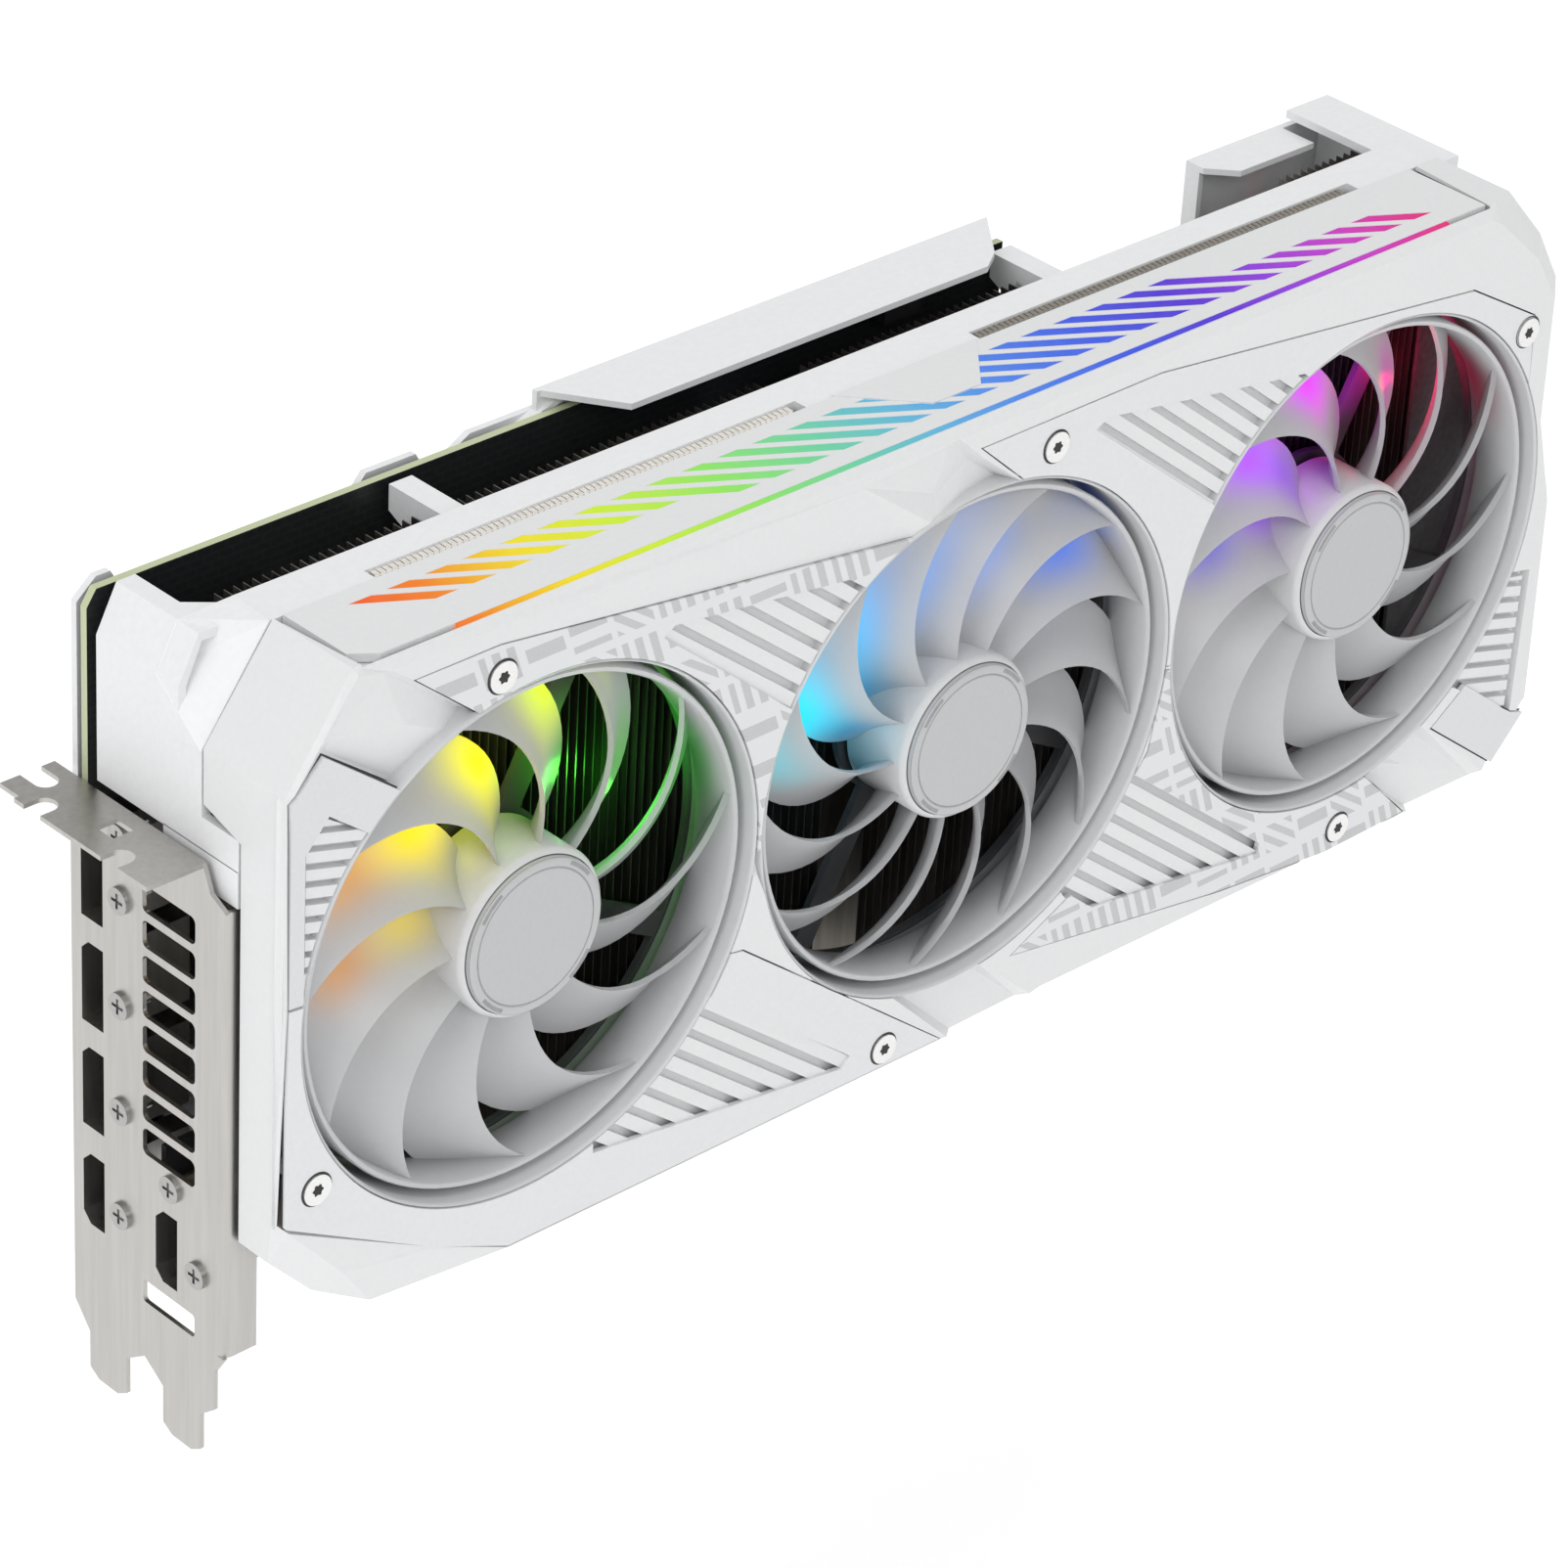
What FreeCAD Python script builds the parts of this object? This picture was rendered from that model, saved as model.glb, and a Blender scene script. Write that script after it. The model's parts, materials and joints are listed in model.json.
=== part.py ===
import FreeCAD, Part
import math
import os

# Graphics card with three fans.  All sizes in millimetres.
# The drawing is set out from the bracket's outer face (x = 0, tail at +x), from the fan hubs' front
# (y = 0, board and backplate towards +y) and from the height of the fan centres (z = 0, up is +z).
# The parts are written out about the middle of the contact edge that plugs into the slot.

V = FreeCAD.Vector

# ---- overall sizes -------------------------------------------------------------------------------
CARD_LENGTH = 320.0            # bracket face to the tail of the shroud
FACE_HEIGHT = 129.5            # lower edge of the shroud to the top of the light bar
DRAWN_LENGTH = 320.0           # length the front outline was drawn at
DRAWN_HEIGHT = 129.5           # height the front outline was drawn at
SX = CARD_LENGTH / DRAWN_LENGTH
SZ = FACE_HEIGHT / DRAWN_HEIGHT

TOP_Z = 66.0 * SZ              # top of the light bar
FACE_BOTTOM_Z = -63.5 * SZ     # lower edge of the shroud
CLEAR = 0.3                    # gap between neighbours that do not touch

# ---- fans ----------------------------------------------------------------------------------------
FAN_X = [56.0 * SX, 158.25 * SX, 260.5 * SX]
FAN_BLADES = [11, 13, 11]
FAN_TURN = [1, -1, 1]          # blade sweep; the middle fan is handed the other way
RING_R = 48.4 * min(SX, SZ)    # outside of the ring that joins the blade tips
RING_WALL = 1.3
APERTURE_R = RING_R + 1.6
HUB_R = 16.0
HUB_FRONT_Y = 0.6
HUB_BACK_Y = 14.6
HUB_WALL = 1.5
CAP_R = 14.7
CAP_FRONT_Y = -0.4
BLADE_FRONT_Y = 2.4
BLADE_BACK_Y = 12.6
BLADE_THICK = 1.2
BLADE_COVER = 0.82             # share of its sector that one blade spans
BLADE_SWEEP = 30.0             # degrees the tip leads the root
BLADE_BEND = 1.8               # the sweep grows towards the tip
BLADE_BITE = 0.8               # how far the root runs into the hub wall
BLADE_STATIONS = 5
RING_FRONT_Y = 2.0
RING_BACK_Y = 12.0
SHAFT_R = 1.5
SHAFT_FIT = 0.05               # running clearance of the shaft in its sleeve
SLEEVE_R = 3.2
STATOR_R = 12.6
STATOR_FRONT_Y = 4.2
STATOR_BACK_Y = 13.4
CORE_WALL = 2.4
POLES = 9
POLE_W = 3.2
MOUNT_Y = 16.0                 # front of the fan mount's plate
MOUNT_THICK = 1.4
MOUNT_DISC_R = 17.0
MOUNT_ARM_W = 5.0
MOUNT_ARM_ANGLES = [28.0, 118.0, 208.0, 298.0]
MOUNT_RING_GAP = 0.25

# ---- shroud --------------------------------------------------------------------------------------
SKIN_Y = 0.6                   # front of the shroud's skin, panels lie on it
SKIN = 2.0
SHROUD_BACK_Y = 21.0
DUCT_WALL = 1.0
PANEL_FRONT_Y = -0.5
WALL_X = 2.0                   # left wall of the shroud and mid-frame
BRACKET_STEP_Z = 34.5 * SZ       # below this the shroud's left wall is cut back round the bracket
SLAT_FRONT_Y = 0.0
SLAT_BACK_Y = 2.6
SCREW_SPOTS = [(46.5, 54.0), (9.0, -30.5), (141.5, -58.5), (174.0, 54.0), (302.5, 36.0), (263.0, -58.5)]
SCREW_HEAD_R = 2.9
SCREW_HOLE_R = 3.3
SCREW_SHANK_R = 1.3
SCREW_LENGTH = 9.0
SCREW_HEAD_FRONT_Y = -0.9
STAR_R = 1.2
STAR_DEPTH = 0.8

# ---- light bar -----------------------------------------------------------------------------------
BAR_X0 = 18.0 * SX
BAR_X1 = 288.0 * SX
BAR_THICK = 1.6
BAR_FRONT_Y = 1.8
BAR_BACK_Y = 20.8
STRIPE_PITCH = 8.05
STRIPE_WIDTH = 5.0
STRIPE_LEAN = 1.72             # x run for each millimetre of y
STRIPE_FIRST_X = 28.2
STRIPE_REAR_Y = 16.9
STRIPE_COUNT = 29
LINE_X0 = 38.0 * SX
LINE_X1 = 277.0 * SX
LINE_WIDTH = 0.8
LED_STRIP_THICK = 1.0

# ---- mid-frame -----------------------------------------------------------------------------------
FRAME_FRONT_Y = 21.3
FRAME_BACK_Y = 31.3
FRAME_TOP_Z = TOP_Z - 0.6
FRAME_THICK = 2.2
EAR_BACK_Y = 48.6
EAR_WALL = 1.6
ARM_X = [64.0 * SX, 206.0 * SX]  # two arms that reach back to the board
ARM_W = 5.0
ARM_WEB = 1.6
ARM_DROP = 3.0
TAIL_FRAME_X = 296.0 * SX
TAIL_BLOCK_X0 = 291.5 * SX
TAIL_BLOCK_X1 = 303.0 * SX
TAIL_WALL = 1.6
TAIL_DROP = 1.2                  # the tail block lies this far below the rail
TAIL_BACK_Y = 54.8

# ---- board and slot edge -------------------------------------------------------------------------
EDGE_BOTTOM_Z = FACE_BOTTOM_Z - 10.6
BOARD_FACE_Y = 51.1
BOARD_THICK = 1.57
BOARD_X0 = 2.0
BOARD_X1 = 276.0 * SX
BOARD_TOP_Z = TOP_Z - 4.0
BOARD_BOTTOM_Z = EDGE_BOTTOM_Z + 8.25
SOCKET_LEDGE_Z = TOP_Z - 20.0   # lower board edge under the power sockets
EDGE_X0 = 44.55                # start of the contact edge behind the bracket face
EDGE_SHORT = 11.65
EDGE_KEY = 1.9
EDGE_LONG = 71.65
EDGE_X1 = EDGE_X0 + EDGE_SHORT + EDGE_KEY + EDGE_LONG
PAD_PITCH = 1.0
PAD_WIDTH = 0.7
PAD_HEIGHT = 5.6
PAD_THICK = 0.05
CHIP_X = 118.0 * SX            # middle of the processor
CHIP_Z = 0.0

# ---- cooler --------------------------------------------------------------------------------------
FIN_X0 = 20.8 * SX
FIN_X1 = 300.5 * SX
FIN_PITCH = 2.8
FIN_THICK = 0.4
FIN_FRONT_Y = 18.6
FIN_BACK_Y = 41.8
FIN_TOP_Z = TOP_Z - 4.0
FIN_SHOULDER = 2.5             # the fins step down this far in front of the rail's rear edge
FIN_STEP = 7.4                 # depth of that step
FIN_SILL = 2.6                 # fins behind the rail end this far below their tops
FIN_GAP = 2.0                  # air round the power sockets
FIN_BOTTOM_Z = FACE_BOTTOM_Z + 5.8
FIN_BREAK = (145.0 * SX, 152.0 * SX)
PIPE_R = 3.4
PIPE_FIT = 0.02
PIPE_Y = 38.8
PIPE_PITCH = 11.0 * SZ
PIPE_COUNT = 6
BASE_FRONT_Y = PIPE_Y + PIPE_R
BASE_BACK_Y = 48.4
BASE_HALF_X = 42.0
BASE_HALF_Z = 40.0
PACKAGE_HALF = 22.0
DIE_HALF = 13.0
DIE_FRONT_Y = BASE_BACK_Y
PACKAGE_FRONT_Y = 49.2
MEMORY_FRONT_Y = 49.9
MEMORY_SIZE = (14.0, 12.0)

# ---- backplate -----------------------------------------------------------------------------------
PLATE_FRONT_Y = 55.1
PLATE_THICK = 1.4
PLATE_TOP_Z = TOP_Z - 8.0
PLATE_BOTTOM_Z = FACE_BOTTOM_Z + 1.5
PLATE_X0 = 3.0
PLATE_X1 = 303.0 * SX
CARD_BACK_Y = 57.3
CREST_X0 = 101.0 * SX
CREST_X1 = 211.0 * SX
CREST_FRONT_Y = 40.7
CREST_TOP_Z = TOP_Z - 0.5
CREST_THICK = 1.2
TAIL_CREST_X0 = 266.0 * SX
TAIL_CREST_Z = TOP_Z - 5.6
TAIL_CREST_FRONT_Y = 47.0

# ---- bracket and its sockets ---------------------------------------------------------------------
TAB_Z = EDGE_BOTTOM_Z + 100.36  # underside of the screw tab
SHEET = 0.86
BRACKET_Y0 = 12.4
BRACKET_Y1 = 53.3
BRACKET_TOTAL = 120.02
TONGUE_W = 10.19
TONGUE_LENGTH = 10.0
SLOT_PITCH = 20.32
TAB_REACH = 11.43
TAB_Y0 = 18.5
TAB_Y1 = 58.5
NOTCH_W = 4.42
NOTCH_DEPTH = 4.8
NOTCH_Y = 48.5
END_NOTCH_X = -4.1
LIP_LENGTH = 7.0
LIP_BEND = 2.0                   # outside radius of the lip's bend
PORT_Y0 = 44.8                 # fan-side edge of the socket openings in the bracket
PORT_WIDE = 5.8
PORT_Z = [-16.6, -37.6, -58.7]  # display sockets below the tab
PORT_HEIGHT = 16.2
PORT_CLIP = 1.8
VIDEO_Z = -79.7                # video sockets below the tab
VIDEO_HEIGHT = 14.6
VIDEO_CLIP = 2.0
VIDEO_2_Y = 25.0
PORT_DEPTH = 18.0
PORT_WALL = 0.4
PORT_BACK = 1.5                # closed end of a socket's can
TONGUE_BACK = 5.4              # contact tongues start this far behind the bracket face
VENT_Y0 = 20.3
VENT_Y1 = 34.2
VENT_TOP = -10.6
VENT_PITCH = 6.9
VENT_HEIGHT = 5.3
VENT_COUNT = 8
BRACKET_SCREWS = [(40.0, -4.6), (40.0, -16.8), (40.0, -37.6), (40.0, -58.9), (40.0, -80.4),
                  (26.5, -67.5), (19.6, -81.4)]
BRACKET_SCREW_R = 2.5

# ---- power sockets -------------------------------------------------------------------------------
POWER_X0 = 214.0 * SX
POWER_STEP = 19.4
POWER_COUNT = 3
POWER_W = 18.6
POWER_Y0 = 40.4
POWER_BOTTOM_Z = TOP_Z - 34.0
POWER_TOP_Z = TOP_Z - 16.0
POWER_PIN_PITCH = 4.2
POWER_WELL = 11.0

# ---- firmware switch -----------------------------------------------------------------------------
SWITCH_X = 182.0 * SX
SWITCH_L = 9.0
SWITCH_H = 4.0
SWITCH_Y0 = 46.6
SWITCH_TOP_Z = BOARD_TOP_Z - 0.6
KNOB_W = 1.6
KNOB_TRAVEL = 2.0

ORIGIN = V((EDGE_X0 + EDGE_X1) / 2, BOARD_FACE_Y + BOARD_THICK / 2, EDGE_BOTTOM_Z)


# ---- small helpers -------------------------------------------------------------------------------
def box(x0, x1, y0, y1, z0, z1):
    """Block between two corners."""
    return Part.makeBox(x1 - x0, y1 - y0, z1 - z0, V(x0, y0, z0))


def front_plate(points, y0, y1):
    """Flat plate drawn in the x-z plane and given a thickness along y."""
    wire = Part.makePolygon([V(x, y0, z) for x, z in points + points[:1]])
    return Part.Face(wire).extrude(V(0, y1 - y0, 0))


def flat_plate(points, z0, z1):
    """Flat plate drawn in the x-y plane and given a thickness along z."""
    wire = Part.makePolygon([V(x, y, z0) for x, y in points + points[:1]])
    return Part.Face(wire).extrude(V(0, 0, z1 - z0))


def side_plate(points, x0, x1):
    """Flat plate drawn in the y-z plane and given a thickness along x."""
    wire = Part.makePolygon([V(x0, y, z) for y, z in points + points[:1]])
    return Part.Face(wire).extrude(V(x1 - x0, 0, 0))


def rod_y(x, z, radius, y0, y1):
    """Round bar along y."""
    return Part.makeCylinder(radius, y1 - y0, V(x, y0, z), V(0, 1, 0))


def tube_y(x, z, inner, outer, y0, y1):
    """Round tube along y."""
    return rod_y(x, z, outer, y0, y1).cut(rod_y(x, z, inner, y0 - 1, y1 + 1))


def drawn(points):
    """Stretch points of the front drawing to the card's length and height."""
    return [(x * SX, z * SZ) for x, z in points]


def largest(shape):
    """The biggest solid of a shape, without the crumbs a cut leaves."""
    return max(shape.Solids, key=lambda solid: solid.Volume)


def write(name, shape):
    """Move a finished part to the card's origin and write it out."""
    solids = shape.Solids
    part = solids[0].copy() if len(solids) == 1 else Part.makeCompound([s.copy() for s in solids])
    part.translate(ORIGIN.negative())
    part.exportStep("parts/" + name + ".step")


# ---- front outlines ------------------------------------------------------------------------------
SHROUD_OUTLINE = drawn([(2.0, 47.0), (16.0, 66.0), (296.0, 66.0), (307.0, 54.0), (313.5, 43.0), (313.5, 14.0),
                        (319.5, -5.0), (320.0, -50.0), (309.0, -62.0), (283.0, -63.5), (156.0, -63.5),
                        (24.0, -62.0), (12.0, -55.0), (2.0, -44.5)])
UPPER_LEFT_SLATS = drawn([(82.0, 48.5), (84.5, 50.0), (125.0, 44.5), (131.0, 40.0), (140.0, 30.0),
                          (128.0, 11.0)])
UPPER_RIGHT_SLATS = drawn([(184.0, 54.0), (187.0, 55.5), (239.0, 47.5), (242.0, 45.0), (250.0, 30.0),
                           (231.0, 17.0)])
LOWER_LEFT_SLATS = drawn([(71.0, -50.5), (131.0, -58.5), (133.0, -56.5), (92.0, -25.0), (70.0, -30.0)])
LOWER_RIGHT_SLATS = drawn([(189.0, -45.0), (194.5, -49.5), (240.0, -55.5), (240.5, -53.5), (198.0, -20.0),
                           (178.0, -30.0)])
LEFT_SLATS = drawn([(10.5, 40.6), (6.2, 35.5), (6.2, 14.0), (16.0, 14.0), (30.0, 30.0), (20.0, 34.0)])
RIGHT_SLATS = drawn([(297.0, -39.0), (311.0, -50.0), (311.5, -20.0), (302.0, -18.0), (292.0, -36.0)])
SLAT_GROUPS = [(UPPER_LEFT_SLATS, -38.0, 4.1), (UPPER_RIGHT_SLATS, -38.0, 3.9),
               (LOWER_LEFT_SLATS, -38.0, 4.1),
               (LOWER_RIGHT_SLATS, -38.0, 4.0), (LEFT_SLATS, -16.0, 3.2), (RIGHT_SLATS, -16.0, 3.4)]

PRINTED_LEFT = drawn([(28.0, 60.0), (46.0, 60.0), (144.5, 46.7), (131.0, 38.0), (120.0, 20.0), (109.5, -3.0),
                      (105.0, -3.0), (95.0, 30.0), (70.0, 40.0), (44.0, 47.0)])
PRINTED_RIGHT = drawn([(209.0, -4.0), (213.0, -5.0), (240.0, -40.0), (270.0, -50.0), (282.5, -62.5),
                       (260.0, -63.0), (230.0, -60.0), (173.5, -51.5), (189.0, -44.0), (206.0, -20.0)])
PLAIN_LEFT = drawn([(2.7, 7.0), (2.7, -36.0), (34.0, -53.5), (52.0, -61.5), (156.0, -62.5), (104.5, -22.5),
                    (90.0, -20.0), (60.0, 0.0)])
PLAIN_RIGHT = drawn([(155.5, 59.7), (200.0, 60.0), (285.0, 50.0), (304.0, 39.0), (306.0, 10.0), (260.0, 0.0),
                     (212.0, -3.0), (206.0, -3.0), (195.0, 30.0), (170.0, 47.0)])
LEFT_INLAY = drawn([(2.7, 46.0), (9.5, 52.5), (26.5, 39.5), (20.0, 34.0), (10.5, 41.3), (5.7, 35.5),
                    (5.7, 7.5), (2.7, 7.5)])
CORNER_INLAY = drawn([(297.5, -39.5), (312.5, -51.0), (316.5, -52.5), (308.5, -61.0), (288.5, -45.8)])
BADGE = [(139.5 * SX, 21.0), (151.5 * SX, 8.3), (163.0 * SX, 8.3), (174.5 * SX, 21.0)]


def cut_apertures(shape, radius):
    """Open the round fan windows."""
    for x in FAN_X:
        shape = shape.cut(rod_y(x, 0, radius, -5, MOUNT_Y + 0.01))
    return shape


def cut_screw_holes(shape, radius, y0, y1):
    """Drill the six front screw spots."""
    for x, z in drawn(SCREW_SPOTS):
        shape = shape.cut(rod_y(x, z, radius, y0, y1))
    return shape


# ---- shroud and its trim -------------------------------------------------------------------------
def front_shroud():
    """White tray over the cooler with three fan windows and ducts."""
    outer = front_plate(SHROUD_OUTLINE, SKIN_Y, SHROUD_BACK_Y)
    wire = Part.makePolygon([V(x, SKIN_Y + SKIN, z) for x, z in SHROUD_OUTLINE + SHROUD_OUTLINE[:1]])
    hollow = Part.Face(wire.makeOffset2D(-SKIN, 2)).extrude(V(0, SHROUD_BACK_Y, 0))
    body = outer.cut(hollow)
    for x in FAN_X:
        body = body.fuse(rod_y(x, 0, APERTURE_R + DUCT_WALL, SKIN_Y, MOUNT_Y))
    body = cut_apertures(body, APERTURE_R)
    for outline, angle, pitch in SLAT_GROUPS:
        body = body.cut(front_plate(outline, SKIN_Y - 1, SLAT_BACK_Y))
    body = cut_screw_holes(body, SCREW_SHANK_R + 0.1, -1, SKIN_Y + SKIN + 0.1)
    bar_bed = box(BAR_X0 - CLEAR, BAR_X1 + CLEAR, -1, SHROUD_BACK_Y + 1, TOP_Z - BAR_THICK, TOP_Z + 1)
    body = body.cut(bar_bed)
    led_pocket = box(LINE_X0, LINE_X1, SKIN_Y + SKIN, SHROUD_BACK_Y + 1, TOP_Z - SKIN, TOP_Z)
    body = body.cut(led_pocket)
    bracket_step = box(-1, 14.0, BRACKET_Y0 - 1.0, SHROUD_BACK_Y + 1, FACE_BOTTOM_Z - 1, BRACKET_STEP_Z)
    return largest(body.cut(bracket_step))


def front_panel(outline, slats):
    """Thin trim panel lying on the shroud's skin, cut clear of fans, slats and screws."""
    panel = cut_apertures(front_plate(outline, PANEL_FRONT_Y, SKIN_Y), APERTURE_R + 0.8)
    for zone in slats:
        panel = panel.cut(front_plate(zone, PANEL_FRONT_Y - 1, SKIN_Y + 1))
    return largest(cut_screw_holes(panel, SCREW_HOLE_R, PANEL_FRONT_Y - 1, SKIN_Y + 1))


def slat_bars():
    """Slanted louvre bars set in the six openings of the shroud."""
    bars = []
    for outline, angle, pitch in SLAT_GROUPS:
        zone = cut_apertures(front_plate(outline, SLAT_FRONT_Y, SLAT_BACK_Y), APERTURE_R + DUCT_WALL)
        mid_x = sum(x for x, z in outline) / len(outline)
        mid_z = sum(z for x, z in outline) / len(outline)
        for i in range(-12, 13):
            bar = box(-60, 60, SLAT_FRONT_Y, SLAT_BACK_Y, i * pitch, i * pitch + 0.62 * pitch)
            bar.rotate(V(0, 0, 0), V(0, 1, 0), -angle)
            bar.translate(V(mid_x, 0, mid_z))
            bars += [s for s in bar.common(zone).Solids if s.Volume > 4.0]
    return Part.makeCompound(bars)


def star_screw(x, z):
    """Trim screw with a star recess in its head."""
    head = rod_y(x, z, SCREW_HEAD_R, SCREW_HEAD_FRONT_Y, SKIN_Y)
    shank = rod_y(x, z, SCREW_SHANK_R, SKIN_Y, SCREW_LENGTH)
    points = []
    for i in range(12):
        r = STAR_R if i % 2 == 0 else 0.66 * STAR_R
        points.append((x + r * math.cos(math.radians(30 * i)), z + r * math.sin(math.radians(30 * i))))
    star = front_plate(points, SCREW_HEAD_FRONT_Y - 1, SCREW_HEAD_FRONT_Y + STAR_DEPTH)
    return head.fuse(shank).cut(star)


def shroud_screws():
    """Six identical screws holding the shroud to the cooler."""
    return Part.makeCompound([star_screw(x, z) for x, z in drawn(SCREW_SPOTS)])


# ---- light bar -----------------------------------------------------------------------------------
def stripe_shapes():
    """Slanted light windows, short at both ends and long in the middle."""
    shapes = []
    for i in range(STRIPE_COUNT):
        rear = STRIPE_REAR_Y if i < 24 else 12.0
        front = 9.7 if i < 7 else 5.8
        x_rear = (STRIPE_FIRST_X + STRIPE_PITCH * i + STRIPE_LEAN * (STRIPE_REAR_Y - rear)) * SX
        x_front = (STRIPE_FIRST_X + STRIPE_PITCH * i + STRIPE_LEAN * (STRIPE_REAR_Y - front)) * SX
        points = [(x_rear, rear), (x_rear + STRIPE_WIDTH, rear), (x_front + STRIPE_WIDTH, front),
                  (x_front, front)]
        shapes.append(points)
    return shapes


def light_bar_cover():
    """White cap along the card's top edge with slots for the light."""
    z0 = TOP_Z - BAR_THICK
    outline = [(BAR_X0, BAR_BACK_Y), (BAR_X0, 5.0), (BAR_X0 + 4.5, BAR_FRONT_Y), (BAR_X1, BAR_FRONT_Y),
               (BAR_X1, BAR_BACK_Y)]
    cover = flat_plate(outline, z0, TOP_Z)
    for points in stripe_shapes():
        cover = cover.cut(flat_plate(points, z0 - 1, TOP_Z + 1))
    return largest(cover.cut(flat_plate(BADGE, z0 - 1, TOP_Z + 1)))


def stripe_diffusers():
    """Milky windows that fill the slanted slots."""
    badge = flat_plate(BADGE, TOP_Z - 3, TOP_Z + 1)
    bars = []
    for points in stripe_shapes():
        bar = flat_plate(points, TOP_Z - BAR_THICK, TOP_Z - 0.1).cut(badge)
        bars += [s for s in bar.Solids if s.Volume > 2.0]
    return Part.makeCompound(bars)


def line_diffuser():
    """Thin glowing line along the front of the light bar."""
    return box(LINE_X0, LINE_X1, BAR_FRONT_Y - LINE_WIDTH, BAR_FRONT_Y, TOP_Z - BAR_THICK, TOP_Z - 0.1)


def badge_plate():
    """Plain plate in the middle of the light bar."""
    return flat_plate(BADGE, TOP_Z - BAR_THICK, TOP_Z + 0.2)


def led_strip():
    """Narrow circuit strip with its lamps under the light bar."""
    top = TOP_Z - BAR_THICK - 0.2
    strip = box(LINE_X0 + 1, LINE_X1 - 1, 6.0, 16.0, top - 0.8 - LED_STRIP_THICK, top - 0.8)
    for i in range(24):
        x = LINE_X0 + 6 + i * (LINE_X1 - LINE_X0 - 15) / 23
        strip = strip.fuse(box(x, x + 3, 9.5, 12.5, top - 0.8, top))
    return strip


# ---- mid-frame -----------------------------------------------------------------------------------
def fin_gap_x(first_fin, wanted):
    """Start of a web that stands midway between two fins, nearest to the wanted station."""
    i = round((wanted - first_fin) / FIN_PITCH)
    gap = FIN_PITCH - FIN_THICK
    return first_fin + i * FIN_PITCH + FIN_THICK + (gap - ARM_WEB) / 2


def mid_frame():
    """Frame behind the shroud: top rail, bracket-end cheek, tail cheek and two arms to the board."""
    z0 = FRAME_TOP_Z - FRAME_THICK
    rail = box(16.0, TAIL_FRAME_X, FRAME_FRONT_Y, FRAME_BACK_Y, z0, FRAME_TOP_Z)
    for x0, x1 in ((38.0 * SX, 134.0 * SX), (176.0 * SX, 275.0 * SX)):
        rail = rail.cut(box(x0, x1, FRAME_FRONT_Y - 1, FRAME_FRONT_Y + 3.2, z0 - 1, FRAME_TOP_Z + 1))
    cheek_low = TAB_Z + SHEET + 0.6
    outer = [(WALL_X, cheek_low), (WALL_X, 46.0 * SZ), (16.0, FRAME_TOP_Z), (16.0, z0),
             (WALL_X + EAR_WALL + 1, 45.0 * SZ),
             (WALL_X + EAR_WALL, cheek_low)]
    cheek = front_plate(outer, FRAME_FRONT_Y, FRAME_BACK_Y)
    step_z = BRACKET_STEP_Z - 2 * CLEAR
    cheek = cheek.fuse(box(WALL_X, WALL_X + EAR_WALL, BRACKET_Y0 - 2 * CLEAR, FRAME_BACK_Y, cheek_low,
                           step_z))
    ear_top = FRAME_TOP_Z - 1.6
    ear = [(WALL_X, cheek_low), (WALL_X, ear_top - 8.5), (6.2, ear_top), (10.0, ear_top),
           (10.0, ear_top - EAR_WALL),
           (6.8, ear_top - EAR_WALL), (WALL_X + EAR_WALL, ear_top - 9.0), (WALL_X + EAR_WALL, cheek_low)]
    ear_plate = front_plate(ear, FRAME_BACK_Y - 4, EAR_BACK_Y)
    gusset = flat_plate([(9.0, FRAME_BACK_Y), (17.0, FRAME_BACK_Y), (15.0, 33.0), (10.0, 37.0), (9.0, 44.0)],
                        ear_top - EAR_WALL, ear_top)
    frame = rail.fuse(cheek).fuse(ear_plate).fuse(gusset)
    arm_front = FRAME_BACK_Y - 2.0
    top = FRAME_TOP_Z - ARM_DROP
    for x in (fin_gap_x(FIN_X0, ARM_X[0]), fin_gap_x(FIN_BREAK[1], ARM_X[1])):
        arm = box(x, x + ARM_W, arm_front, EAR_BACK_Y, top - EAR_WALL, top)
        web = side_plate([(arm_front, top), (EAR_BACK_Y, top), (EAR_BACK_Y, top - 5.0),
                          (arm_front, top - 14.0)],
                         x, x + ARM_WEB)
        foot = box(x, x + ARM_W, arm_front, FRAME_BACK_Y, top - EAR_WALL, FRAME_TOP_Z)
        frame = frame.fuse(arm).fuse(web).fuse(foot)
    back_rail = box(16.0, TAIL_FRAME_X, FRAME_BACK_Y - 1.4, FRAME_BACK_Y, FRAME_TOP_Z - 7.0, FRAME_TOP_Z)
    tail = box(TAIL_BLOCK_X0, TAIL_BLOCK_X1, FRAME_FRONT_Y, TAIL_BACK_Y, z0 - TAIL_DROP / 2,
               FRAME_TOP_Z - TAIL_DROP)
    tail_wall = box(TAIL_BLOCK_X1 - TAIL_WALL, TAIL_BLOCK_X1, FRAME_FRONT_Y, TAIL_BACK_Y, FACE_BOTTOM_Z + 6,
                    FRAME_TOP_Z - TAIL_DROP)
    return frame.fuse(back_rail).fuse(tail).fuse(tail_wall).removeSplitter()


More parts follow.
